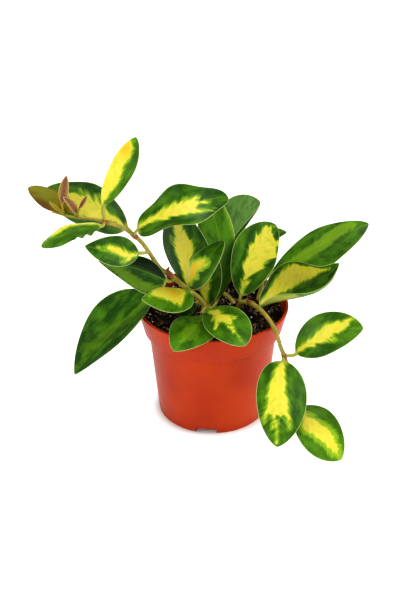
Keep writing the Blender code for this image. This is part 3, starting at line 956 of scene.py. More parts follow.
class NodeRecipe(Graph):
    """A Geometry Nodes tree with named inputs."""

    def __init__(self, name: str, inputs: dict[str, tuple[str, object]]) -> None:
        """Creates the tree and its sockets.

        Args:
            name: The tree's name.
            inputs: For each input its socket type and its value.
        """
        tree = bpy.data.node_groups.new(name, "GeometryNodeTree")
        super().__init__(tree)
        tree.interface.new_socket("Geometry", in_out="INPUT", socket_type="NodeSocketGeometry")
        self.values: dict[str, object] = {}
        for title, (kind, value) in inputs.items():
            socket = tree.interface.new_socket(title, in_out="INPUT", socket_type=kind)
            self.values[socket.identifier] = value
        tree.interface.new_socket("Geometry", in_out="OUTPUT", socket_type="NodeSocketGeometry")
        self.start = self.node("NodeGroupInput")
        self.end = self.node("NodeGroupOutput")

    def given(self, title: str) -> Socket:
        """The socket of a named input."""
        return self.start.outputs[title]

    def through(self, kind: str, geometry: Socket, settings: dict[str, object] | None = None,
                **inputs: object) -> Socket:
        """Sends geometry through a node.

        Args:
            kind: Blender's name for the node type.
            geometry: The geometry's socket.
            settings: Properties to set on the node.
            **inputs: Values or sockets by input name, with underscores for spaces.

        Returns:
            The node's first output.
        """
        new = self.node(kind, **(settings or {}))
        self.feed(new.inputs[0], geometry)
        for title, value in inputs.items():
            self.feed(new.inputs[title.replace("_", " ")], value)
        return new.outputs[0]

    def read(self, title: str) -> Socket:
        """Reads a named attribute that holds one number a point.

        Args:
            title: The attribute's name.

        Returns:
            The number's socket.
        """
        new = self.node("GeometryNodeInputNamedAttribute", data_type="FLOAT")
        new.inputs["Name"].default_value = title
        return new.outputs[0]

    def tube(self, curve: Socket, profile: Node) -> Node:
        """Sweeps a round profile along a curve and closes its ends.

        Args:
            curve: The curve's socket.
            profile: The node that draws the profile.

        Returns:
            The sweeping node.
        """
        new = self.node("GeometryNodeCurveToMesh")
        self.feed(new.inputs["Curve"], curve)
        self.feed(new.inputs["Profile Curve"], profile.outputs[0])
        new.inputs["Fill Caps"].default_value = True
        return new

    def draw(self, kind: str, least: object, most: object, shift: int) -> Socket:
        """A random value for each element.

        Args:
            kind: FLOAT or FLOAT_VECTOR.
            least: The lowest value.
            most: The highest value.
            shift: What is added to the seed, so that draws differ.

        Returns:
            The value's socket.
        """
        new = self.node("FunctionNodeRandomValue", data_type=kind)
        low, high, result = RANDOM_SOCKETS[kind]
        self.feed(new.inputs[low], least)
        self.feed(new.inputs[high], most)
        seed = self.node("FunctionNodeIntegerMath", operation="ADD")
        self.feed(seed.inputs[0], self.given("Seed"))
        seed.inputs[1].default_value = shift
        self.feed(new.inputs["Seed"], seed.outputs[0])
        return new.outputs[result]

    def finish(self, geometry: Socket) -> None:
        """Ends the tree in Realize Instances and Set Material.

        Args:
            geometry: The geometry to finish.
        """
        real = self.through("GeometryNodeRealizeInstances", geometry)
        coloured = self.through("GeometryNodeSetMaterial", real, Material=self.given("Material"))
        self.feed(self.end.inputs[0], coloured)

    def grow(self, name: str, source: Mesh, material: Material) -> Object:
        """Runs the tree on a mesh and keeps the result as a plain mesh.

        Args:
            name: The piece's name.
            source: The mesh that the tree starts from.
            material: The finish that the tree sets.

        Returns:
            The finished piece, with no modifier left on it.
        """
        obj = new_object(name, source)
        modifier = obj.modifiers.new(self.tree.name, "NODES")
        modifier.node_group = self.tree
        for identifier, value in self.values.items():
            modifier[identifier] = material if value is None else value
        bake(obj).name = name
        return obj


# Stems


@dataclass(frozen=True)
class Stem:
    """A stem's route, its radius at the foot and the tip, and its swollen nodes."""

    name: str
    route: tuple[Point, ...]
    foot_radius: float
    tip_radius: float
    nodes: tuple[Point, ...] = ()
    stubs: tuple[tuple[Point, Point, float], ...] = ()


STEM_FOOT = 77.0

STEMS = (
    Stem("vine_left",
         ((-4, -5, STEM_FOOT), (-4, -5, 82), (-4, -5, 87), (-6, -8, 96), (-11, -12, 106),
          (-18, -15, 114), (-26, -16, 122), (-34, -17, 130), (-41, -18, 136), (-52, -21, 156),
          (-59, -23, 165), (-68, -27, 174), (-80, -31, 180), (-88, -33, 183), (-98, -35, 185)),
         2.3, 1.2, ((-18, -15, 114), (-34, -17, 130), (-59, -23, 165), (-80, -31, 180)),
         (((-34, -17, 130), (-0.1, -0.45, 1.0), 6.5), ((-36, -17, 132), (0.5, -0.5, 1.0), 6.0))),
    Stem("vine_right",
         ((20, 6, STEM_FOOT), (20, 6, 82), (20, 6, 87), (23, 1, 95), (30, -8, 99), (37, -23, 101),
          (42, -34, 100), (46, -43, 97), (49, -48, 91), (51, -49, 84), (54, -49, 76), (57, -46, 66),
          (61, -46, 52), (63, -50, 44)),
         2.1, 1.3, ((30, -8, 99), (54, -49, 76)), (((28.5, -6, 98.2), (-0.5, -0.3, 1.0), 6.0),)),
    Stem("stem_back",
         ((17, 14, STEM_FOOT), (17, 14, 82), (17, 14, 87), (13, 17, 91), (8, 21, 93), (3, 26, 96),
          (1, 28, 101)), 1.8, 1.6),
    Stem("stem_side_left",
         ((-30, 4, STEM_FOOT), (-30, 4, 82), (-30, 4, 87), (-33, 1, 95), (-34, -1, 101)), 2.1, 1.8),
    Stem("stem_side_right",
         ((37, 20, STEM_FOOT), (37, 20, 82), (37, 20, 87), (39, 23, 94), (40, 25, 100)), 2.1, 1.8),
)


@dataclass
class StemWork:
    """Builds the stems as tubes along their routes, with swollen nodes and dry bud stubs."""

    path_steps: int = 10
    sides: int = 20
    swelling: float = 0.7
    swelling_reach: float = 3.0
    knobbly: float = 0.16
    knob_scale: float = 0.45
    stub_radius: float = 1.0
    stub_tip_radius: float = 0.45
    stub_shares: tuple[float, ...] = (0.0, 0.3, 0.6, 0.9, 1.0)
    coarse_steps: int = 3

    def shape(self, stem: Stem, steps: int) -> tuple[Array, Array, Array]:
        """A stem's path, with the radius and the nearness to a node at each point.

        Args:
            stem: The stem.
            steps: The number of steps between its route's points.

        Returns:
            The path, the radii and the nearness from 0 to 1.
        """
        path = smooth_route(stem.route, steps)
        share = np.linspace(0.0, 1.0, len(path))
        radii = stem.foot_radius + (stem.tip_radius - stem.foot_radius) * share
        near = np.zeros(len(path))
        for node in stem.nodes:
            distance = np.linalg.norm(path - np.array(node, dtype=float), axis=1)
            near = np.maximum(near, np.exp(-(distance / self.swelling_reach) ** 2))
        return path, radii + self.swelling * near, near

    def seat(self, stem: Stem, place: Point) -> Array:
        """The point of the stem's axis nearest to a node, where a leaf's stalk is rooted."""
        path, _, _ = self.shape(stem, self.coarse_steps)
        return path[int(np.argmin(np.linalg.norm(path - np.array(place, dtype=float), axis=1)))]

    def recipe(self) -> NodeRecipe:
        """The tree that turns a chain of points into a knobbly tube.

        Returns:
            The tree.
        """
        tree = NodeRecipe("tube along a stem", {
            "Sides": ("NodeSocketInt", self.sides),
            "Knobbly": ("NodeSocketFloat", self.knobbly * MM),
            "Material": ("NodeSocketMaterial", None),
        })
        curve = tree.through("GeometryNodeMeshToCurve", tree.given("Geometry"))
        along = tree.over(tree.node("GeometryNodeSplineParameter").outputs["Length"], MM)
        curve = tree.through("GeometryNodeStoreNamedAttribute", curve, {"data_type": "FLOAT_VECTOR"},
                             Name="skin", Value=tree.vector(along, 0.0, tree.read("knot")))
        profile = tree.node("GeometryNodeCurvePrimitiveCircle", mode="RADIUS")
        tree.feed(profile.inputs["Resolution"], tree.given("Sides"))
        profile.inputs["Radius"].default_value = 1.0
        tube = tree.tube(curve, profile)
        tree.feed(tube.inputs["Scale"], tree.read("thickness"))
        noise = tree.node("ShaderNodeTexNoise")
        noise.inputs["Scale"].default_value = self.knob_scale / MM
        lift = tree.times(tree.less(noise.outputs[0], 0.5), tree.given("Knobbly"))
        push = tree.scaled(tree.node("GeometryNodeInputNormal").outputs[0], lift)
        tree.finish(tree.through("GeometryNodeSetPosition", tube.outputs[0], Offset=push))
        return tree

    def spine(self, stem: Stem) -> Mesh:
        """The chains of points that a stem and its stubs follow.

        Args:
            stem: The stem.

        Returns:
            A mesh of edges with thickness and knot attributes.
        """
        path, radii, near = self.shape(stem, self.path_steps)
        chains = [(path, radii, near)]
        for start, direction, length in stem.stubs:
            origin = np.array(start, dtype=float)
            reach = unit(np.array(direction, dtype=float)) * length
            share = np.array(self.stub_shares)
            thick = self.stub_radius + (self.stub_tip_radius - self.stub_radius) * share ** 3
            chains.append((origin + np.outer(share, reach), thick, np.ones(len(share))))
        points, edges, thickness, knots = [], [], [], []
        for route, width, knot in chains:
            start = len(points)
            points += (route * MM).tolist()
            edges += [(start + i, start + i + 1) for i in range(len(route) - 1)]
            thickness += (width * MM).tolist()
            knots += knot.tolist()
        mesh = bpy.data.meshes.new(stem.name)
        mesh.from_pydata(points, edges, [])
        for title, values in (("thickness", thickness), ("knot", knots)):
            attribute = mesh.attributes.new(title, "FLOAT", "POINT")
            attribute.data.foreach_set("value", values)
        return mesh

    def build(self, material: Material) -> None:
        """Builds and dresses every stem.

        Args:
            material: The stem skin.
        """
        recipe = self.recipe()
        for stem in STEMS:
            obj = recipe.grow(f"{stem.name}_skin", self.spine(stem), material)
            dress(obj, Slot.STEM, stem.name)


# Leaves

# The depth, in millimetres, of a place far outside a patch
OUTSIDE = -12.0
PERCENT = 100.0

# Where leaves grow: the stem and the place on it
NODES = {
    "left_soil": ("vine_left", (-4, -5, 89)),
    "left_foot": ("vine_left", (-6, -8, 95)),
    "left_low": ("vine_left", (-18, -15, 114)),
    "left_middle": ("vine_left", (-30, -16.5, 126)),
    "left_upper": ("vine_left", (-49, -20, 150)),
    "left_high": ("vine_left", (-59, -23, 165)),
    "left_far": ("vine_left", (-80, -31, 180)),
    "left_end": ("vine_left", (-95, -34.4, 184.4)),
    "right_foot": ("vine_right", (20, 6, 90)),
    "right_knuckle": ("vine_right", (30, -8, 99)),
    "right_hanging": ("vine_right", (54, -49, 76)),
    "right_end": ("vine_right", (63, -50, 44)),
    "back": ("stem_back", (1, 28, 100)),
    "side_left": ("stem_side_left", (-34, -1, 100)),
    "side_right": ("stem_side_right", (40, 25, 99)),
}


@dataclass(frozen=True)
class Marking:
    """The yellow patch on a blade.

    band gives the patch's edges at stations from base to tip, in percent: the place along the blade,
    then the low and the high edge across it, from -100 at the left margin to 100 at the right one. Where
    the low edge is above the high one, there is no patch. streaks are tapered strokes, each with its
    start and end in the same way, and its width in millimetres. ragged is the reach of the fingers,
    glow how far the lime fringe goes past the patch, glow_strength how strong it is, and warm the
    patch's orange part: its centre along the blade, its reach and its strength. tone lightens the green,
    and pale_tip is the share of the blade at its tip that turns paler. The half shades change the tone
    of the left and the right half alone: painted shade on a half in shadow, which at its darkest turns
    near black. Where yellow is false, only the fringe shows.
    """

    band: tuple[tuple[float, float, float], ...] = ()
    streaks: tuple[tuple[float, float, float, float, float], ...] = ()
    yellow: bool = True
    ragged: float = 2.0
    glow: float = 1.6
    glow_strength: float = 0.8
    warm: tuple[float, float, float] = (0.5, 0.5, 0.0)
    tone: float = 0.0
    pale_tip: float = 0.0
    painted_half_shades: tuple[float, float] = (0.0, 0.0)


@dataclass(frozen=True)
class Leaf:
    """A leaf's pose, outline and marking.

    The blade starts at base and runs along heading and rise, turned about its length by roll. arch and
    sway bow it by so many millimetres, twist turns its tip, and curl bends its left and right half.
    fullness tells how round the base and the tip are, lean and skew make one half wider or fuller, and
    wave, wave_start and wave_lag ripple the margins. crimp is the depth of the small folds in its left
    margin near the base, and tip_bend how far its tip hooks over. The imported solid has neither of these.
    """

    name: str
    node: str
    base: Point
    heading: float
    rise: float
    length: float
    width: float
    roll: float
    arch: float = 0.0
    sway: float = 0.0
    curl: tuple[float, float] = (10.0, 10.0)
    twist: float = 0.0
    fullness: tuple[float, float] = (0.65, 0.7)
    lean: float = 0.0
    skew: float = 0.0
    wave: float = 0.0
    wave_start: float = 0.0
    wave_lag: float = 2.0
    crimp: float = 0.0
    tip_bend: Point = (0.0, 0.0, 0.0)
    young: bool = False
    front: Face = Face.UPPER
    marking: Marking = Marking(yellow=False, glow_strength=0.0)


LEAVES = (
    Leaf("leaf_young_olive", "left_end", (-102, -30, 188), 176, 28, 37, 18, roll=-96, arch=1.5, sway=1.5,
         curl=(10, 15), twist=5, fullness=(0.65, 0.65), wave=0.5, wave_start=0.1, young=True,
         front=Face.UNDER),
    Leaf("leaf_far_upright", "left_far", (-80, -31, 193), 9, 64, 57, 22, roll=110, arch=2, sway=-1.5,
         curl=(15, 10), twist=-10, fullness=(0.7, 0.65), wave=0.5, wave_start=0.2, marking=Marking(
             ((3, -120, -90), (10, -120, -20), (20, -120, 0), (30, -120, 15), (40, -120, 22), (50, -120, 15),
              (60, -120, 5), (75, -120, 20), (87, -120, 15), (93, -100, -50)), ragged=0.8,
             warm=(0.82, 0.13, 1.0), tone=0.3)),
    Leaf("leaf_far_drooping", "left_far", (-82, -38, 180), -157, -9, 46, 25, roll=-122, arch=-3.5,
         curl=(10, 15), fullness=(0.55, 0.5), wave=1.0, wave_start=-0.15, crimp=1.1, marking=Marking(
             ((5, 80, 60), (12, 65, 120), (30, 80, 120), (50, 80, 110), (60, 65, 95), (70, 50, 100),
              (80, 50, 110), (86, 80, 60)), ragged=0.6, glow=2.6, glow_strength=0.6, tone=0.3, pale_tip=0.2)),
    Leaf("leaf_high_back", "left_high", (-65, -15, 168), 177, 28, 66, 41, roll=-100, arch=-8.5, sway=-1,
         curl=(5, 15), twist=5, fullness=(0.55, 0.65), lean=-0.04, wave=1.5, wave_start=-0.05,
         marking=Marking(
             ((0, -20, 20), (10, -15, 15), (20, -20, 10), (30, -40, 10), (40, -55, 20), (50, -55, 18),
              (60, -50, 20), (70, -20, 25), (78, 10, 0)), ((30, 0, 46, 50, 3.0), (50, 10, 66, 40, 2.6)),
             ragged=1.3)),
    Leaf("leaf_high_streaked", "left_high", (-56, -27, 172), 13, 16, 71, 38, roll=24, arch=8, sway=1.5,
         curl=(25, 25), twist=15, fullness=(0.4, 0.55), lean=0.04, skew=0.1, wave=4.5, wave_start=-0.2,
         wave_lag=-2.0, marking=Marking(
             ((0, -30, 0), (10, -25, 5), (20, -25, 5), (30, -25, 25), (40, -35, 25), (50, -25, 35),
              (60, -32, 38), (66, -10, 10), (72, 10, 0)), ((56, 30, 78, 58, 3.0), (58, 0, 80, 8, 2.8),
              (56, -25, 70, -22, 2.6)), ragged=1.1)),
    Leaf("leaf_upper_left", "left_upper", (-56, -26, 152), -147, 22, 48, 23, roll=-73, arch=1.5, sway=-1,
         twist=-15, fullness=(0.65, 0.85), lean=0.02, marking=Marking(
             ((5, -35, -15), (15, -35, -10), (25, -45, 5), (35, -35, 25), (40, -15, 30), (50, -2, 35),
              (60, 5, 30), (70, 20, 15)), ((20, -35, 34, -60, 1.6), (55, 20, 76, 12, 1.8)), ragged=0.8)),
    # Its upper half is painted near black: painted shade inside the fold
    Leaf("leaf_middle_folded", "left_middle", (-35, -23, 127), -176, 20, 55, 33, roll=-96, arch=-6.5, sway=-1,
         curl=(30, 40), twist=-10, fullness=(0.55, 0.95), skew=-0.4, wave=-0.5, marking=Marking(
             ((5, -80, -60), (30, -85, -55), (60, -75, -45), (90, -40, -30)), yellow=False, ragged=0.8,
             glow=2.0, glow_strength=0.35, tone=-0.1, painted_half_shades=(-0.1, -1.4))),
    Leaf("leaf_low_yellow", "left_low", (-17, -23, 117), -139, 13, 49, 27, roll=-24, arch=-0.5, sway=-2.5,
         curl=(0, -5), twist=-5, fullness=(0.65, 0.8), lean=-0.04, wave=-0.5, wave_start=-0.05,
         marking=Marking(
             ((7, 60, 50), (10, 30, 110), (15, -5, 95), (25, -35, 95), (35, -50, 95), (45, -40, 100),
              (55, -5, 95), (65, 15, 100), (75, 45, 80), (82, 60, 50)), ragged=1.2, glow=2.4,
             warm=(0.27, 0.13, 0.75), tone=0.4, pale_tip=0.22)),
    Leaf("leaf_low_upright", "left_low", (-18, -19, 120), -11, 58, 49, 24, roll=50, arch=8, sway=3.5,
         curl=(0, 10), twist=-5, fullness=(0.65, 0.65), lean=0.02, skew=-0.1, wave=0.5, wave_start=0.15,
         marking=Marking(
             ((5, -85, -50), (10, -92, -15), (30, -85, -8), (40, -80, -10), (50, -60, -2), (56, -45, 0),
              (64, -15, -10)), ((36, -20, 62, 25, 1.8), (20, -20, 36, 14, 1.8)), ragged=0.6, glow=2.4,
             glow_strength=1.0, warm=(0.28, 0.22, 0.8), tone=0.1)),
    Leaf("leaf_foot_upright", "left_soil", (-3, -3, 95), -24, 85, 48, 24, roll=78, arch=0.5, sway=-1.5,
         twist=5, fullness=(0.75, 0.7), skew=-0.05, marking=Marking(
             ((3, -90, -60), (10, -85, -35), (20, -85, -20), (30, -80, 0), (50, -90, 0), (70, -80, -10),
              (85, -30, -40)), ragged=1.0, glow=2.2)),
    Leaf("leaf_foot_front_right", "left_foot", (-7, -24, 100), -61, 2, 61, 31, roll=19, arch=3.5, sway=-2.5,
         twist=-10, fullness=(0.7, 0.6), lean=-0.02, skew=-0.05, marking=Marking(
             ((10, -30, -20), (20, -45, -12), (30, -35, 5), (38, -35, 22), (46, -40, -2), (52, -30, -8),
              (58, -15, -10)), ((28, -10, 50, 60, 2.4), (30, -25, 52, -50, 2.2), (40, -20, 74, 0, 2.0),
              (60, -5, 90, 3, 0.5), (20, -20, 30, 30, 1.6)), ragged=1.1, glow=1.2, tone=0.3)),
    Leaf("leaf_foot_shaded", "left_foot", (-13.5, -7.1, 98.8), -169, -21, 19.5, 12, roll=-100, arch=2,
         sway=-0.5, curl=(15, 15), twist=-10, fullness=(0.6, 0.75), marking=Marking(
             yellow=False, glow_strength=0.0, tone=-0.2)),
    Leaf("leaf_foot_front_left", "left_soil", (-8, -13, 90), -110, 4, 63, 36, roll=-9, arch=5.5, sway=-3.5,
         curl=(10, 0), lean=-0.02, skew=-0.05, marking=Marking(
             ((40, -10, 10), (60, -35, 30), (70, -40, 25), (85, 0, 10)), ((50, 10, 68, 12, 0.8),),
             yellow=False, ragged=1.4, glow=0.5, glow_strength=0.3, tone=0.3, pale_tip=0.1)),
    Leaf("leaf_centre_tall", "left_soil", (4, 12, 92), 129, 80, 88, 29, roll=-19, arch=7.5, sway=4,
         curl=(5, 5), fullness=(0.75, 0.5), lean=-0.04, skew=0.05, marking=Marking(
             ((40, 95, 120), (60, 85, 120), (85, 85, 120)), yellow=False, ragged=0.5, glow=0.5,
             glow_strength=0.45, tone=0.45)),
    Leaf("leaf_side_left_large", "side_left", (-48, -6, 105), -149, -36, 86, 57, roll=0, arch=3, sway=-0.5,
         curl=(35, 25), twist=5, fullness=(0.6, 0.85), lean=0.04, skew=0.1, wave=-0.5, wave_start=0.15,
         marking=Marking(
             ((5, -30, 5), (30, -30, 0), (60, 0, 30), (75, 10, 50), (85, 30, 40)), yellow=False, ragged=1.6,
             glow=1.0, glow_strength=0.15, painted_half_shades=(-0.1, -0.1))),
    # Its left half is darkened further: painted shade
    Leaf("leaf_side_left_upright", "side_left", (-18, 3, 107), 140, 77, 70, 46, roll=-85, arch=1.5, sway=1,
         curl=(-10, -5), twist=-5, fullness=(0.7, 0.85), lean=0.06, skew=0.1, wave=0.5, wave_start=0.05,
         marking=Marking(
             ((0, -30, 10), (20, -25, 12), (35, -25, 22), (45, -35, 40), (55, -30, 50), (62, -25, 30),
              (75, -28, 22), (90, -30, 0), (97, -10, -20)), ((40, -10, 60, -42, 2.0), (42, 20, 60, 60, 2.4)),
             ragged=1.0, glow=1.4, tone=-0.3, painted_half_shades=(-0.3, 0.0))),
    Leaf("leaf_back_pale", "back", (14, 38, 106), 36, 60, 60, 40, roll=8, arch=6, sway=-4.5, curl=(25, 95),
         twist=25, fullness=(0.7, 0.55), lean=-0.08, skew=0.05, wave=-1.0, wave_start=0.1, front=Face.UNDER,
         marking=Marking(yellow=False, glow_strength=0.0, tone=-0.45)),
    Leaf("leaf_side_right_large", "side_right", (48, 30, 106), 3, 29, 87, 41, roll=28, arch=2, sway=-1,
         curl=(-15, 5), twist=-10, fullness=(0.7, 0.7), lean=0.06, skew=0.2, wave=1.0, wave_start=0.15,
         marking=Marking(
             ((20, 0, 20), (40, -15, 20), (60, -32, 12), (75, -60, -8), (88, -70, -30)), yellow=False,
             ragged=0.7, glow=1.8, glow_strength=0.5, tone=0.3)),
    Leaf("leaf_side_right_small", "side_right", (27, 34, 112), 35, 23, 45, 23, roll=3, arch=7, sway=-2.5,
         curl=(20, 20), twist=5, fullness=(0.6, 0.7), skew=0.05, marking=Marking(
             ((10, -20, 20), (50, -40, 30), (80, 10, -10)), yellow=False, glow_strength=0.1, tone=-0.1)),
    Leaf("leaf_right_upright", "right_foot", (22, 6, 98), 36, 57, 63, 40, roll=72, arch=-3, sway=-5,
         curl=(10, 20), twist=-10, fullness=(0.7, 0.6), skew=0.25, wave=-1.5, wave_start=-0.1,
         marking=Marking(
             ((3, -5, 8), (15, -5, 20), (25, -5, 20), (32, -20, 35), (40, -25, 55), (50, -15, 55),
              (60, -25, 75), (70, -25, 95), (80, -35, 75), (85, -40, 60), (92, -35, 0), (95, -20, -30)),
             ((72, 50, 90, 62, 2.6),), ragged=1.2, glow=1.4)),
    Leaf("leaf_right_twisted", "right_knuckle", (36.5, -8.5, 96.2), -8, 33, 70, 44, roll=53, arch=-9,
         sway=-1.5, curl=(50, 130), twist=85, fullness=(0.75, 0.75), lean=-0.04, skew=-0.1, wave=-0.5,
         wave_start=-0.05, tip_bend=(1.0, 0.0, 4.5), marking=Marking(
             ((0, -50, -10), (20, -60, -15), (35, -75, -15), (45, -82, -12), (55, -85, -14), (65, -75, -18),
              (80, -60, -25), (90, -40, -35)), ((4, 35, 45, 80, 12.0),), ragged=0.8, tone=-0.1)),
    Leaf("leaf_hanging_side", "right_hanging", (63, -52, 80), -12, 30, 56, 34, roll=40, arch=4, sway=-4.5,
         curl=(15, 10), twist=-5, wave=-0.5, wave_start=-0.15, marking=Marking(
             ((0, -5, 15), (10, -15, 15), (20, -10, 25), (30, -15, 25), (40, -25, 25), (47, -25, 30),
              (55, -45, 15), (65, -45, 15), (75, -40, 5), (82, -45, -25)), ((45, 20, 62, 42, 2.0),
              (70, -30, 90, -45, 1.8)), ragged=1.0, tone=0.15, pale_tip=0.22)),
    Leaf("leaf_hanging_front", "right_hanging", (53, -53, 74), -98, -57, 65, 39, roll=-8, arch=4.5,
         curl=(15, 15), fullness=(0.5, 0.7), skew=0.15, marking=Marking(
             ((0, -15, 20), (10, -15, 35), (25, -15, 45), (35, -15, 50), (42, -25, 55), (50, -25, 50),
              (57, -35, 60), (62, -30, 50), (64, 0, 0)), ((52, -20, 76, -42, 3.0), (52, 20, 77, 24, 2.8),
              (52, 45, 72, 62, 2.4), (70, 10, 95, 3, 0.7)), ragged=0.8, tone=0.15)),
    Leaf("leaf_hanging_low", "right_end", (66, -60, 36), -45, -31, 51, 35, roll=23, arch=6, sway=1, twist=5,
         lean=0.02, skew=-0.15, wave=-0.5, marking=Marking(
             ((10, 5, 15), (20, -10, 35), (28, -15, 55), (35, -20, 55), (45, -35, 35), (55, -40, 25),
              (70, -45, 15), (80, -30, 15), (88, -20, 20), (94, -10, 0)), ragged=1.0, glow=3.6, tone=0.5,
             pale_tip=0.2)),
)

# The young shoot beyond the left vine's end
SHOOT_ROUTE = ((-98.6, -35.1, 185.1), (-104, -36, 186.5), (-109, -36, 188), (-113, -36.5, 189.5),
               (-117, -37, 191))
SHOOT_RADII = (1.1, 0.7)
SHOOT_LEAVES = (
    (Leaf("shoot_upright", "", (-109, -38, 198), 0, 79, 22, 7.6, roll=80, arch=1, curl=(20, 20),
          fullness=(0.7, 0.8)), (-108.5, -36, 188)),
    (Leaf("shoot_folded", "", (-99.5, -37, 190), -158, 57, 17, 7, roll=-60, arch=2, curl=(40, 40),
          fullness=(0.6, 0.8)), (-101.5, -35.6, 186)),
    (Leaf("shoot_narrow", "", (-97.5, -36, 193), 0, 57, 12, 3.4, roll=60, curl=(0, 0)),
     (-99.8, -35.4, 185.6)),
    (Leaf("shoot_bud", "", (-110, -36.5, 190), 176, 43, 12, 3.0, roll=-60, curl=(0, 0),
          marking=Marking(tone=1.0)), (-108, -36, 187.8)),
)


@dataclass
class BladeWork:
    """Builds a leaf as one skin: its stalk, a rounded margin, a grooved midrib and a raised rib below."""

    stations: int = 56
    stalk_steps: int = 14
    across_steps: int = 24
    thickness: float = 1.3
    stalk_radius: float = 1.1
    stalk_flare: float = 1.3
    edge_thinning: float = 0.35
    groove: float = 0.30
    groove_width: float = 1.0
    rib: float = 0.7
    rib_width: float = 1.2
    tip_half_width: float = 0.35
    hook_start: float = 0.84
    waves: float = 1.5
    crimps: float = 7.0
    crimp_start: tuple[float, float] = (0.03, 0.12)
    crimp_end: tuple[float, float] = (0.5, 0.3)
    least_curl: float = 0.001
    margin_start: float = 0.999
    # Shares along the blade where the stalk has opened into it, and where the stalk's colour ends
    opening: float = 0.10
    stalk_colour_end: float = 0.05
    # How squarely the margin and the tip are rounded off, and how thin the tip gets
    edge_squareness: int = 6
    tip_squareness: int = 14
    tip_thinning: float = 0.06
    rib_fade: float = 0.7
    rim_width: float = 0.9
    # How far across the midrib the painted shade of each half blends, and how a pale tip spreads and shows
    half_shade_blend: tuple[float, float] = (-0.1, 0.4)
    pale_spread: float = 1.5
    pale_gain: float = 0.6
    streak_taper: float = 0.7
    # The stalk's bend as a share of its length, and its thicker foot
    stalk_bend: float = 0.35
    collar: float = 0.18
    collar_reach: float = 0.12

    def axes(self, leaf: Leaf, shares: Array) -> tuple[Array, Array, Array, Array]:
        """The midrib of a leaf.

        Args:
            leaf: The leaf.
            shares: Places from 0 at the base to 1 at the tip.

        Returns:
            The midrib's points, and the direction, face normal and right side at each.
        """
        heading, rise = math.radians(leaf.heading), math.radians(leaf.rise)
        ahead = np.array((math.cos(rise) * math.cos(heading), math.cos(rise) * math.sin(heading),
                          math.sin(rise)))
        face_up = unit(UP - (UP @ ahead) * ahead)
        side = np.cross(ahead, face_up)
        roll = math.radians(leaf.roll)
        face = math.cos(roll) * face_up + math.sin(roll) * side
        bow = face * leaf.arch + np.cross(ahead, face) * leaf.sway
        midrib = (np.array(leaf.base, dtype=float) + np.outer(shares, ahead * leaf.length)
                  + np.outer(4 * shares * (1 - shares), bow))
        along = ahead * leaf.length + np.outer(4 - 8 * shares, bow)
        hook = smoothstep(shares, self.hook_start, 1.0)
        midrib += np.outer(hook ** 2, leaf.tip_bend)
        along /= np.linalg.norm(along, axis=1)[:, None]
        turn = np.radians(leaf.roll + leaf.twist * (shares - 0.5))
        faces = np.outer(np.cos(turn), face_up) + np.outer(np.sin(turn), side)
        faces -= np.sum(faces * along, axis=1)[:, None] * along
        faces /= np.linalg.norm(faces, axis=1)[:, None]
        return midrib, along, faces, np.cross(along, faces)

    def half_width(self, leaf: Leaf, share: float, side: Array) -> Array:
        """The blade's half width at a station.

        Args:
            leaf: The leaf.
            share: The place along the blade.
            side: 1 for points on the right half and -1 on the left.

        Returns:
            The half width for each point.
        """
        rise = leaf.fullness[0] * (1 - side * leaf.skew)
        fall = leaf.fullness[1]
        widest = rise / (rise + fall)
        outline = share ** rise * (1 - share) ** fall / (widest ** rise * (1 - widest) ** fall)
        return outline * leaf.width * (0.5 + side * leaf.lean)

    def patch_depth(self, leaf: Leaf, share: float, across: Array, half: Array) -> Array:
        """How deep each point lies inside the patch, in millimetres, negative outside it.

        Args:
            leaf: The leaf.
            share: The place along the blade.
            across: Places across it, from -1 to 1.
            half: The half width at each point.

        Returns:
            The depth for each point.
        """
        marking, depth = leaf.marking, np.full(len(across), OUTSIDE)
        if marking.band:
            places, lows, highs = np.array(marking.band).T / PERCENT
            low = np.interp(share, places, lows)
            high = np.interp(share, places, highs)
            before = (places[0] - share) * leaf.length
            after = (share - places[-1]) * leaf.length
            inside = np.minimum(across - low, high - across) * half
            depth = np.minimum(inside, -max(before, after, OUTSIDE))
        for *ends, width in marking.streaks:
            start_along, start_across, end_along, end_across = np.array(ends) / PERCENT
            start = np.array((start_along * leaf.length, start_across * leaf.width / 2))
            reach = np.array((end_along * leaf.length, end_across * leaf.width / 2)) - start
            offset = np.stack((np.full(len(across), share * leaf.length), across * half), axis=1) - start
            t = np.clip(offset @ reach / (reach @ reach), 0.0, 1.0)
            distance = np.linalg.norm(offset - np.outer(t, reach), axis=1)
            depth = np.maximum(depth, width / 2 * (1.0 - self.streak_taper * t) - distance)
        return depth

    def paint(self, leaf: Leaf, share: float, across: Array, half: Array, top: Array,
              seed: float) -> dict[str, Array]:
        """The values that the finishes read at one station.

        Args:
            leaf: The leaf.
            share: The place along the blade.
            across: Places across it, from -1 to 1.
            half: The half width at each point.
            top: 1 for points on the upper face and -1 on the lower one.
            seed: The number that sets its patterns.

        Returns:
            For each map, one vector a point.
        """
        marking, count, reach = leaf.marking, len(across), np.abs(across)
        patch = self.patch_depth(leaf, share, across, half)
        # The half shades paint shade onto one half of the blade
        left, right = marking.painted_half_shades
        tone = (marking.tone + left * smoothstep(-across, *self.half_shade_blend)
                + right * smoothstep(across, *self.half_shade_blend))
        if marking.pale_tip:
            tone += self.pale_gain * float(smoothstep(share, 1.0 - self.pale_spread * marking.pale_tip, 1.0))
        warm_centre, warm_reach, warmth = marking.warm
        warm = warmth * math.exp(-((share - warm_centre) / warm_reach) ** 2)
        turned = top if leaf.front is Face.UPPER else -top
        under = np.where(reach > self.margin_start, 0.5, (1 - turned) / 2)
        stalk = 1 - float(smoothstep(share, 0.0, self.stalk_colour_end))
        columns = {
            "blade": (share * leaf.length, across * half, seed),
            "mark": (patch if marking.yellow else OUTSIDE, patch + marking.glow, warm),
            "skin": (under, smoothstep(reach * half - half, -self.rim_width, 0.0), stalk),
            "habit": (tone, marking.ragged, marking.glow_strength),
        }
        return {name: np.stack([np.broadcast_to(value, count) for value in values], axis=1)
                for name, values in columns.items()}

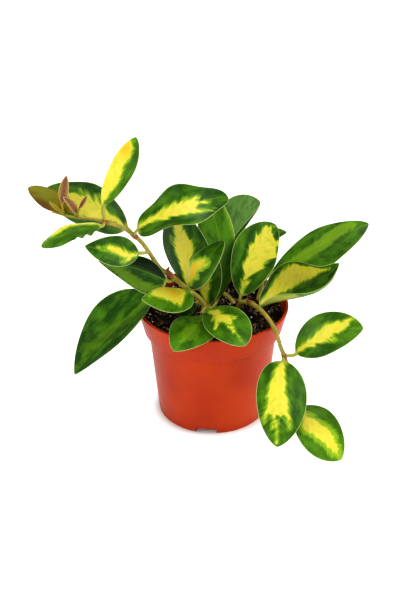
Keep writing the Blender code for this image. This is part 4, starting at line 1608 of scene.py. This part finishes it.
    def section(self, loft: Loft, leaf: Leaf, share: float, centre: Array, face: Array,
                right: Array, seed: float) -> None:
        """Adds the ring across a blade at one station.

        Args:
            loft: The skin being built.
            leaf: The leaf.
            share: The place along the blade.
            centre: The midrib's point there.
            face: The face normal.
            right: The right side's direction.
            seed: The number that sets its patterns.
        """
        steps = self.across_steps
        lead = -np.cos(np.pi * np.arange(steps + 1) / steps)
        across = np.concatenate((lead, lead[-2:0:-1]))
        top = np.concatenate((np.ones(steps + 1), -np.ones(steps - 1)))
        side = np.where(across > 0, 1.0, -1.0)
        reach = np.abs(across)
        opened = float(smoothstep(share, 0.0, self.opening))
        start_width = self.stalk_radius * self.stalk_flare * (1 - opened)
        half = np.hypot(self.half_width(leaf, share, side), max(start_width, self.tip_half_width))
        curl = np.radians(np.where(across > 0, leaf.curl[1], leaf.curl[0]))
        curl = np.where(np.abs(curl) < self.least_curl, self.least_curl, curl)
        out = np.sin(curl * reach) / curl
        lift = (1 - np.cos(curl * reach)) / curl
        phase = 2 * math.pi * (self.waves * share + leaf.wave_start) + np.where(side > 0, 0.0, leaf.wave_lag)
        ripple = leaf.wave * np.sin(phase) * reach ** 2 * math.sin(math.pi * share)
        if leaf.crimp:
            near = float(smoothstep(share, *self.crimp_start) * smoothstep(share, *self.crimp_end))
            fold = leaf.crimp * near * np.where(side > 0, 0.0, 1.0)
            half = half + fold * math.sin(2 * math.pi * self.crimps * share) * reach ** 4
            ripple = ripple + fold * math.cos(2 * math.pi * self.crimps * share) * reach ** 3
        points = centre + np.outer(side * half * out, right) + np.outer(half * lift + ripple, face)
        normals = np.outer(np.cos(curl * reach), face) - np.outer(side * np.sin(curl * reach), right)
        width = reach * half
        edge = np.sqrt(np.clip(1 - reach ** self.edge_squareness, 0.0, 1.0))
        closing = math.sqrt(max(1 - share ** self.tip_squareness, self.tip_thinning))
        depth = self.thickness / 2 * (1 - self.edge_thinning * reach) * edge * closing
        fade = (1 - share) ** self.rib_fade * closing
        groove = self.groove * np.exp(-(width / self.groove_width) ** 2) * fade
        rib = self.rib * np.exp(-(width / self.rib_width) ** 2) * fade * edge
        flat = np.where(top > 0, depth - groove, depth + rib)
        round_stalk = self.stalk_radius * np.sqrt(np.clip(1 - reach ** 2, 0.0, 1.0))
        height = top * ((1 - opened) * round_stalk + opened * flat)
        loft.add(points + normals * height[:, None], **self.paint(leaf, share, across, half, top, seed))

    def stalk(self, loft: Loft, leaf: Leaf, root: Array, base: Array, ahead: Array,
              face: Array, seed: float) -> None:
        """Adds the round rings of the stalk, from the stem to just short of the blade.

        Args:
            loft: The skin being built.
            leaf: The leaf.
            root: Where the stalk starts.
            base: Where the blade starts.
            ahead: The blade's direction there.
            face: The blade's face normal there.
            seed: The number that sets its patterns.
        """
        reach = np.linalg.norm(base - root)
        first = root + (base - root) * self.stalk_bend
        last = base - ahead * reach * self.stalk_bend
        path = np.array([(1 - t) ** 3 * root + 3 * (1 - t) ** 2 * t * first + 3 * (1 - t) * t ** 2 * last
                         + t ** 3 * base for t in np.linspace(0.0, 1.0, self.stalk_steps + 1)])
        ways = directions(path)
        count = 2 * self.across_steps
        turn = np.pi - 2 * np.pi * np.arange(count) / count
        rings = []
        for index in range(self.stalk_steps - 1, -1, -1):
            way = ways[index]
            face = unit(face - (face @ way) * way)
            side = np.cross(way, face)
            share = index / self.stalk_steps
            radius = self.stalk_radius * (1.0 + self.collar * math.exp(-(share / self.collar_reach) ** 2))
            across = radius * (1 + (self.stalk_flare - 1) * share)
            rings.insert(0, path[index] + across * np.outer(np.cos(turn), side)
                         + radius * np.outer(np.sin(turn), face))
        for index, ring in enumerate(rings):
            values = {"blade": ((index / self.stalk_steps - 1) * reach, 0.0, seed),
                      "mark": (OUTSIDE, OUTSIDE, 0.0), "skin": (0.5, 0.0, 1.0),
                      "habit": (leaf.marking.tone, 1.0, 0.0)}
            loft.add(ring, **{name: np.tile(value, (count, 1)) for name, value in values.items()})

    def mesh(self, leaf: Leaf, root: Array, seed: float) -> Mesh:
        """A whole leaf.

        Args:
            leaf: The leaf.
            root: Where its stalk starts.
            seed: The number that sets its patterns.

        Returns:
            The mesh.
        """
        shares = 0.5 - 0.5 * np.cos(np.pi * np.linspace(0.0, 1.0, self.stations + 1))
        midrib, along, faces, rights = self.axes(leaf, shares)
        loft = Loft()
        self.stalk(loft, leaf, root, midrib[0], along[0], faces[0], seed)
        for row in zip(shares, midrib, faces, rights):
            self.section(loft, leaf, *row, seed)
        return loft.mesh(leaf.name)


@dataclass
class Foliage:
    """Every leaf on the vines and stems, apart from those of the young shoot."""

    work: BladeWork = field(default_factory=BladeWork)
    stems: StemWork = field(default_factory=StemWork)
    seed_step: float = 10.0

    def build(self) -> None:
        """Builds and dresses the leaves."""
        grown, young = WaxyLeaf().build(), YoungLeafSkin().build()
        by_name = {stem.name: stem for stem in STEMS}
        for number, leaf in enumerate(LEAVES):
            stem_name, place = NODES[leaf.node]
            root = self.stems.seat(by_name[stem_name], place)
            mesh = self.work.mesh(leaf, root, seed=self.seed_step * (number + 1))
            obj = new_object(f"{leaf.name}_blade", mesh, young if leaf.young else grown)
            dress(obj, Slot.YOUNG_LEAF if leaf.young else Slot.LEAF, leaf.name)


@dataclass
class YoungShoot:
    """The tip of the left vine: a thin stem end with a few folded small leaves and a bud."""

    work: BladeWork = field(default_factory=lambda: BladeWork(
        stations=30, stalk_steps=8, across_steps=16, thickness=0.9, stalk_radius=0.7, groove=0.15,
        groove_width=0.6, rib=0.35, rib_width=0.6))
    steps: int = 8
    sides: int = 14
    first_seed: float = 500.0
    seed_step: float = 10.0

    def stem(self) -> Mesh:
        """The thin stem end.

        Returns:
            The mesh.
        """
        path = smooth_route(SHOOT_ROUTE, self.steps)
        radii = np.linspace(*SHOOT_RADII, len(path))
        turn = 2 * np.pi * np.arange(self.sides) / self.sides
        loft, side = Loft(), np.array((0.0, 1.0, 0.0))
        for point, way, radius in zip(path, directions(path), radii):
            side = unit(side - (side @ way) * way)
            circle = np.outer(np.cos(turn), side) + np.outer(np.sin(turn), np.cross(way, side))
            ring = point + radius * circle
            loft.add(ring, blade=np.zeros((self.sides, 3)), skin=np.tile((0.5, 0.0, 1.0), (self.sides, 1)))
        return loft.mesh("shoot_stem")

    def build(self) -> None:
        """Builds and dresses the shoot."""
        parts = [self.stem()]
        for number, (leaf, root) in enumerate(SHOOT_LEAVES):
            seed = self.first_seed + self.seed_step * number
            parts.append(self.work.mesh(leaf, np.array(root, dtype=float), seed))
        obj = new_object("young_shoot_skin", join("young_shoot_skin", parts), YoungGrowth().build())
        dress(obj, Slot.SHOOT, "young_shoot")


# Pot


@dataclass
class NurseryPot:
    """The round tapered pot with its rim band, rolled lip, notched foot ring and drain holes."""

    height: float = 95.0
    rim_radius: float = 60.0
    lip_width: float = 2.4
    band_height: float = 20.8
    band_foot_radius: float = 54.8
    body_top_radius: float = 51.3
    foot_radius: float = 43.7
    wall: float = 1.9
    floor_underside: float = 4.6
    floor_thickness: float = 1.6
    foot_ring_width: float = 2.6
    hub_radius: float = 9.0
    rounding: float = 0.8
    foot_rounding: float = 2.0
    small_rounding: float = 0.4
    hub_rounding: float = 0.5
    ledge_rounding: float = 0.6
    longest_cut: float = 0.45
    steps: int = 144
    arc_steps: int = 5
    sharp_angle: float = 32.0
    merge_distance: float = 0.01
    notch_count: int = 4
    notch_width: float = 16.5
    notch_first_heading: float = -96.7
    notch_rounding: float = 0.8
    notch_rounding_steps: int = 4
    hole_count: int = 8
    hole_radius: float = 3.5
    hole_circle_radius: float = 26.0
    hole_sides: int = 32

    def body_radius(self, height: float) -> float:
        """The outer radius below the band."""
        flare = self.body_top_radius - self.foot_radius
        return self.foot_radius + flare * height / (self.height - self.band_height)

    def band_inner_radius(self, height: float) -> float:
        """The inner radius of the rim band.

        Args:
            height: The height that it is read at.

        Returns:
            The radius.
        """
        bottom = self.band_foot_radius - self.wall
        top = self.rim_radius - self.lip_width
        return bottom + (top - bottom) * (height - (self.height - self.band_height)) / self.band_height

    def corners(self) -> list[tuple[float, float, float]]:
        """The pot's section as corners, each with the radius of its rounding.

        Returns:
            Radius, height and rounding for each corner.
        """
        band = self.height - self.band_height
        floor_top = self.floor_underside + self.floor_thickness
        inner_foot = self.foot_radius - self.foot_ring_width
        r, small = self.rounding, self.small_rounding
        return [
            (0, 0, 0), (self.hub_radius, 0, self.hub_rounding),
            (self.hub_radius, self.floor_underside, small),
            (inner_foot, self.floor_underside, small), (inner_foot, 0, small),
            (self.foot_radius, 0, self.foot_rounding),
            (self.body_top_radius, band, self.ledge_rounding), (self.band_foot_radius, band, r),
            (self.rim_radius, self.height, r), (self.rim_radius - self.lip_width, self.height, r),
            (self.band_inner_radius(band + self.wall), band + self.wall, r),
            (self.body_top_radius - self.wall, band - self.wall / 2, r),
            (self.body_radius(floor_top) - self.wall, floor_top, r), (0, floor_top, 0),
        ]

    def profile(self) -> Array:
        """The section with its corners rounded.

        Returns:
            Points of radius and height.
        """
        corners = [np.array(corner, dtype=float) for corner in self.corners()]
        points = [corners[0][:2]]
        for before, corner, after in zip(corners, corners[1:], corners[2:]):
            place, size = corner[:2], corner[2]
            back, ahead = unit(before[:2] - place), unit(after[:2] - place)
            angle = math.acos(float(np.clip(back @ ahead, -1.0, 1.0)))
            cut = min(size / math.tan(angle / 2), self.longest_cut * np.linalg.norm(before[:2] - place),
                      self.longest_cut * np.linalg.norm(after[:2] - place))
            for t in np.linspace(0.0, 1.0, self.arc_steps + 1):
                start, end = place + back * cut, place + ahead * cut
                points.append((1 - t) ** 2 * start + 2 * t * (1 - t) * place + t ** 2 * end)
        points.append(corners[-1][:2])
        return np.array(points)

    def shell(self) -> Mesh:
        """The section turned about the pot's axis.

        Returns:
            The mesh.
        """
        bm = bmesh.new()
        verts = [bm.verts.new((radius * MM, 0.0, height * MM)) for radius, height in self.profile()]
        edges = [bm.edges.new(pair) for pair in zip(verts, verts[1:])]
        bmesh.ops.spin(bm, geom=verts + edges, cent=(0, 0, 0), axis=(0, 0, 1), angle=2 * math.pi,
                       steps=self.steps, use_merge=True)
        bmesh.ops.remove_doubles(bm, verts=bm.verts, dist=self.merge_distance * MM)
        bmesh.ops.recalc_face_normals(bm, faces=bm.faces)
        return plain_mesh("pot_shell", bm)

    def cutters(self) -> bpy.types.Collection:
        """The notches and drain holes as objects that cut the shell.

        Returns:
            Their collection.
        """
        group = bpy.data.collections.new("drainage")
        bpy.context.scene.collection.children.link(group)
        bm = bmesh.new()
        bmesh.ops.create_cube(bm, size=1.0)
        size = (4 * self.foot_ring_width * MM, self.notch_width * MM, 2 * self.floor_underside * MM)
        bmesh.ops.scale(bm, verts=bm.verts, vec=size)
        corners = [edge for edge in bm.edges if abs(edge.verts[0].co.x - edge.verts[1].co.x) > MM]
        bmesh.ops.bevel(bm, geom=corners, offset=self.notch_rounding * MM, segments=self.notch_rounding_steps,
                        affect="EDGES", profile=0.5)
        notch = plain_mesh("notch", bm)
        bm = bmesh.new()
        bmesh.ops.create_cone(bm, cap_ends=True, segments=self.hole_sides, radius1=self.hole_radius * MM,
                              radius2=self.hole_radius * MM, depth=4 * self.floor_thickness * MM)
        hole = plain_mesh("hole", bm)
        first = math.radians(self.notch_first_heading)
        half_step = math.pi / self.hole_count
        floor_middle = self.floor_underside + self.floor_thickness / 2
        for mesh, count, start, radius, height in (
                (notch, self.notch_count, first, self.foot_radius, 0.0),
                (hole, self.hole_count, half_step, self.hole_circle_radius, floor_middle)):
            for number in range(count):
                heading = start + 2 * math.pi * number / count
                obj = bpy.data.objects.new(f"{mesh.name}_{number}", mesh)
                obj.location = Vector((radius * math.cos(heading), radius * math.sin(heading), height)) * MM
                obj.rotation_euler = (0, 0, heading)
                group.objects.link(obj)
        return group

    def build(self) -> None:
        """Builds and dresses the pot."""
        obj = new_object("pot_plastic", self.shell(), PotPlastic().build())
        group = self.cutters()
        cut = obj.modifiers.new("drainage", "BOOLEAN")
        cut.operation = "DIFFERENCE"
        cut.operand_type = "COLLECTION"
        cut.collection = group
        cut.solver = "EXACT"
        mesh = bake(obj)
        for cutter in list(group.objects):
            bpy.data.objects.remove(cutter, do_unlink=True)
        bpy.data.collections.remove(group)
        mesh.set_sharp_from_angle(angle=math.radians(self.sharp_angle))
        dress(obj, Slot.PLASTIC, "pot")


# Soil


class Scrap(Enum):
    """The forms of loose matter, each with how far a piece may tilt in radians."""

    GRAIN = math.pi
    FIBRE = 0.6


@dataclass(frozen=True)
class Litter:
    """One kind of loose matter on the soil.

    density counts its pieces for each square millimetre, least and most are its sizes, and flatness is
    a piece's height as a share of its width.
    """

    name: str
    matter: LooseMatter
    scrap: Scrap
    density: float
    least: float
    most: float
    flatness: float
    seed: int


PEAT = LooseMatter("dark peat", (0.0025, 0.0018, 0.0012), (0.012, 0.007, 0.004), pitch=2.0, roughness=0.75)
BARK = LooseMatter("brown bark", (0.018, 0.008, 0.004), (0.10, 0.048, 0.020), pitch=3.0, roughness=0.75)
COIR = LooseMatter("tan coir fibre", (0.20, 0.12, 0.06), (0.42, 0.29, 0.16), pitch=4.0, roughness=0.8)
PERLITE = LooseMatter("white perlite", (0.55, 0.53, 0.48), (0.80, 0.78, 0.72), pitch=1.5)

LITTER = (
    Litter("soil_crumbs", PEAT, Scrap.GRAIN, 0.16, 1.2, 3.4, 0.8, 11),
    Litter("soil_bark", BARK, Scrap.GRAIN, 0.020, 2.4, 5.5, 0.35, 23),
    Litter("soil_fibres", COIR, Scrap.FIBRE, 0.028, 4.0, 10.0, 0.7, 37),
    Litter("soil_perlite", PERLITE, Scrap.GRAIN, 0.013, 1.0, 2.2, 0.9, 41),
)


@dataclass
class SoilBed:
    """The potting mix: a lumpy bed with crumbs, bark, fibres and perlite on top."""

    pot: NurseryPot
    level: float = 86.0
    rings: int = 60
    sides: int = 144
    patch_cells: int = 80
    patch_margin: float = 1.2
    gap: float = 0.3
    lump: float = 0.9
    crumb: float = 0.72
    crumple_scale: float = 0.7
    crumple: float = 0.9
    fibre_sides: int = 4
    fibre_steps: int = 6
    fibre_radius: float = 0.035
    # A fibre's start, middle and end, for a length of 1
    fibre_bend: tuple[Point, Point, Point] = ((-0.5, 0.0, -0.05), (0.0, 0.5, 0.35), (0.5, 0.0, -0.05))

    def height(self, x: Array, y: Array) -> Array:
        """The bed's lumpy top, from crossed sine waves 13 to 37 mm long and fine ones 3 to 7 mm long.

        Args:
            x: Places to the right.
            y: Places to the back.

        Returns:
            The height at each place.
        """
        lumps = np.sin(0.21 * x + 1.0) * np.cos(0.17 * y) + 0.7 * np.sin(0.37 * x - 0.29 * y)
        edge = np.hypot(x, y) / self.pot.band_inner_radius(self.level)
        fine = (np.sin(0.9 * x + 0.4 * y) * np.sin(0.8 * y - 0.5 * x + 2) * 0.6
                + np.sin(1.9 * x - 1.1 * y + 1) * np.sin(1.6 * y + 1.3 * x) * 0.35)
        return self.level + self.lump * lumps * (1 - edge ** 2) + self.crumb * fine * (1 - edge ** 8)

    def bed(self) -> Mesh:
        """The closed body of the soil.

        Returns:
            The mesh.
        """
        pot = self.pot
        band = pot.height - pot.band_height
        floor_top = pot.floor_underside + pot.floor_thickness
        turn = 2 * np.pi * np.arange(self.sides) / self.sides
        ring = np.stack((np.cos(turn), np.sin(turn)), axis=1)
        top_radius = pot.band_inner_radius(self.level) - self.gap
        loft = Loft()
        sides = ((2.0, floor_top + self.gap),
                 (pot.body_radius(floor_top) - pot.wall - self.gap, floor_top + self.gap),
                 (pot.body_top_radius - pot.wall - self.gap, band - pot.wall / 2 + self.gap),
                 (pot.band_inner_radius(band + pot.wall) - self.gap, band + pot.wall + self.gap))
        for radius, height in sides:
            loft.add(np.column_stack((ring * radius, np.full(self.sides, height))))
        for share in np.linspace(1.0, 0.0, self.rings + 1)[:-1]:
            flat = ring * top_radius * share
            loft.add(np.column_stack((flat, self.height(flat[:, 0], flat[:, 1]))))
        return loft.mesh("soil_bed")

    def patch(self) -> Mesh:
        """The open top surface that loose matter is strewn on.

        Returns:
            The mesh.
        """
        bm = bmesh.new()
        bmesh.ops.create_grid(bm, x_segments=self.patch_cells, y_segments=self.patch_cells,
                              size=self.pot.rim_radius * MM)
        limit = (self.pot.band_inner_radius(self.level) - self.patch_margin) * MM
        outside = [face for face in bm.faces if face.calc_center_median().length > limit]
        bmesh.ops.delete(bm, geom=outside, context="FACES")
        for vert in bm.verts:
            vert.co.z = float(self.height(vert.co.x / MM, vert.co.y / MM)) * MM
        return plain_mesh("soil_top", bm)

    def strew(self, kind: Litter, material: Material) -> Object:
        """Strews one kind of loose matter over the bed.

        Args:
            kind: What is strewn.
            material: Its finish.

        Returns:
            The piece.
        """
        tree = NodeRecipe(f"strewn {kind.name}", {
            "Density": ("NodeSocketFloat", kind.density / MM ** 2),
            "Least size": ("NodeSocketFloat", kind.least * MM),
            "Most size": ("NodeSocketFloat", kind.most * MM),
            "Flatness": ("NodeSocketFloat", kind.flatness),
            "Seed": ("NodeSocketInt", kind.seed),
            "Material": ("NodeSocketMaterial", None),
        })
        points = tree.node("GeometryNodeDistributePointsOnFaces", distribute_method="RANDOM")
        for title, value in (("Mesh", "Geometry"), ("Density", "Density"), ("Seed", "Seed")):
            tree.feed(points.inputs[title], tree.given(value))
        piece = self.grain(tree) if kind.scrap is Scrap.GRAIN else self.fibre(tree)
        size = tree.draw("FLOAT", tree.given("Least size"), tree.given("Most size"), 1)
        scale = tree.vector(size, size, tree.times(size, tree.given("Flatness")))
        tilt = kind.scrap.value
        turn = tree.draw("FLOAT_VECTOR", (-tilt, -tilt, 0.0), (tilt, tilt, 2 * math.pi), 2)
        rotation = tree.node("FunctionNodeEulerToRotation")
        tree.feed(rotation.inputs[0], turn)
        placed = tree.node("GeometryNodeInstanceOnPoints")
        for title, value in (("Points", points.outputs["Points"]), ("Instance", piece),
                             ("Rotation", rotation.outputs[0]), ("Scale", scale)):
            tree.feed(placed.inputs[title], value)
        real = tree.through("GeometryNodeRealizeInstances", placed.outputs[0])
        noise = tree.node("ShaderNodeTexNoise", noise_dimensions="3D")
        noise.inputs["Scale"].default_value = self.crumple_scale / MM
        shift = tree.node("ShaderNodeVectorMath", operation="SUBTRACT")
        tree.feed(shift.inputs[0], noise.outputs["Color"])
        shift.inputs[1].default_value = (0.5, 0.5, 0.5)
        moved = tree.scaled(shift.outputs[0], tree.times(tree.given("Least size"), self.crumple))
        tree.finish(tree.through("GeometryNodeSetPosition", real, Offset=moved))
        return tree.grow(kind.name, self.patch(), material)

    def grain(self, tree: NodeRecipe) -> Socket:
        """Draws a round grain of width 1.

        Args:
            tree: The tree that it is added to.

        Returns:
            The grain's geometry.
        """
        new = tree.node("GeometryNodeMeshIcoSphere")
        new.inputs["Radius"].default_value = 0.5
        new.inputs["Subdivisions"].default_value = 2
        return new.outputs["Mesh"]

    def fibre(self, tree: NodeRecipe) -> Socket:
        """Draws a bent thread of length about 1.

        Args:
            tree: The tree that it is added to.

        Returns:
            The thread's geometry.
        """
        bend = tree.node("GeometryNodeCurveQuadraticBezier")
        bend.inputs["Resolution"].default_value = self.fibre_steps
        for title, place in zip(("Start", "Middle", "End"), self.fibre_bend):
            bend.inputs[title].default_value = place
        ring = tree.node("GeometryNodeCurvePrimitiveCircle", mode="RADIUS")
        ring.inputs["Resolution"].default_value = self.fibre_sides
        ring.inputs["Radius"].default_value = self.fibre_radius
        return tree.tube(bend.outputs[0], ring).outputs[0]

    def build(self) -> None:
        """Builds and dresses the bed and what lies on it."""
        bed = new_object("soil_bed", self.bed(), PEAT.build())
        dress(bed, Slot.SOIL, "soil")
        for kind in LITTER:
            material = bed.data.materials[0] if kind.matter is PEAT else kind.matter.build()
            dress(self.strew(kind, material), Slot.SOIL)


# Studio


@dataclass(frozen=True)
class Panel:
    """A square soft light: where it hangs, the length of its side, and its power in watts."""

    name: str
    place: Point
    size: float
    power: float


PANELS = (
    Panel("top light", (-100, 100, 1500), 600, 9.0),
    Panel("front light", (-150, -1150, 850), 500, 4.5),
    Panel("right light", (1100, -200, 600), 500, 8.5),
    Panel("left light", (-1100, -350, 650), 500, 4.5),
)


@dataclass
class Studio:
    """A pale floor, soft white light and the camera at the photograph's angle."""

    camera_place: Point = (-9.8, -787.1, 533.5)
    camera_target: Point = (-9.8, 0.0, 97.2)
    lens: float = 68.2
    clip_start: float = 0.01
    floor_size: float = 40000.0
    floor_colour: Colour = (0.9, 0.9, 0.9)
    floor_glow: Ramp = Ramp(42.0, 52.0, 0.5)
    white: Colour = (1.0, 1.0, 1.0)
    sky_strength: float = 0.28

    def aim(self, obj: Object, place: Point) -> None:
        """Puts a light or camera into the scene, turned toward the plant.

        Args:
            obj: The light or camera.
            place: Where it goes, in millimetres.
        """
        bpy.context.scene.collection.objects.link(obj)
        obj.location = Vector(place) * MM
        way = Vector(self.camera_target) * MM - obj.location
        obj.rotation_euler = way.to_track_quat("-Z", "Y").to_euler()

    def camera(self) -> None:
        """Adds the camera."""
        data = bpy.data.cameras.new("camera")
        data.lens = self.lens
        data.clip_start = self.clip_start
        obj = bpy.data.objects.new("camera", data)
        self.aim(obj, self.camera_place)
        bpy.context.scene.camera = obj

    def floor(self) -> None:
        """Adds the floor, which glows a little except under the pot."""
        bm = bmesh.new()
        bmesh.ops.create_grid(bm, x_segments=1, y_segments=1, size=self.floor_size / 2 * MM)
        s = Surface("pale floor", roughness=0.8, specular=0.1)
        s.colour(self.floor_colour)
        s.feed(s.shader.inputs["Emission Color"], self.white)
        x, y, _ = s.parts(s.millimetres())
        s.feed(s.shader.inputs["Emission Strength"], s.ramp(s.from_axis(x, y), self.floor_glow))
        new_object("floor", plain_mesh("floor", bm), s.material)

    def light(self, panel: Panel) -> None:
        """Adds a soft light.

        Args:
            panel: Its place, size and power.
        """
        data = bpy.data.lights.new(panel.name, "AREA")
        data.shape = "SQUARE"
        data.size = panel.size * MM
        data.energy = panel.power
        self.aim(bpy.data.objects.new(panel.name, data), panel.place)

    def sky(self) -> None:
        """Sets an even white surround."""
        world = bpy.data.worlds.new("white surround")
        world.use_nodes = True
        background = world.node_tree.nodes["Background"]
        background.inputs["Color"].default_value = (*self.white, 1.0)
        background.inputs["Strength"].default_value = self.sky_strength
        bpy.context.scene.world = world

    def build(self) -> None:
        """Builds the studio."""
        self.camera()
        self.floor()
        self.sky()
        for panel in PANELS:
            self.light(panel)
        bpy.context.scene.view_settings.view_transform = "Standard"
        bpy.context.scene.view_settings.look = "Medium High Contrast"


def main() -> None:
    """Builds the studio, the pot, the soil, the stems and the leaves."""
    logging.basicConfig(level=logging.INFO, format="%(name)s %(message)s")
    Studio().build()
    pot = NurseryPot()
    pot.build()
    SoilBed(pot).build()
    StemWork().build(StemSkin().build())
    YoungShoot().build()
    Foliage().build()


if __name__ == "__main__":
    main()
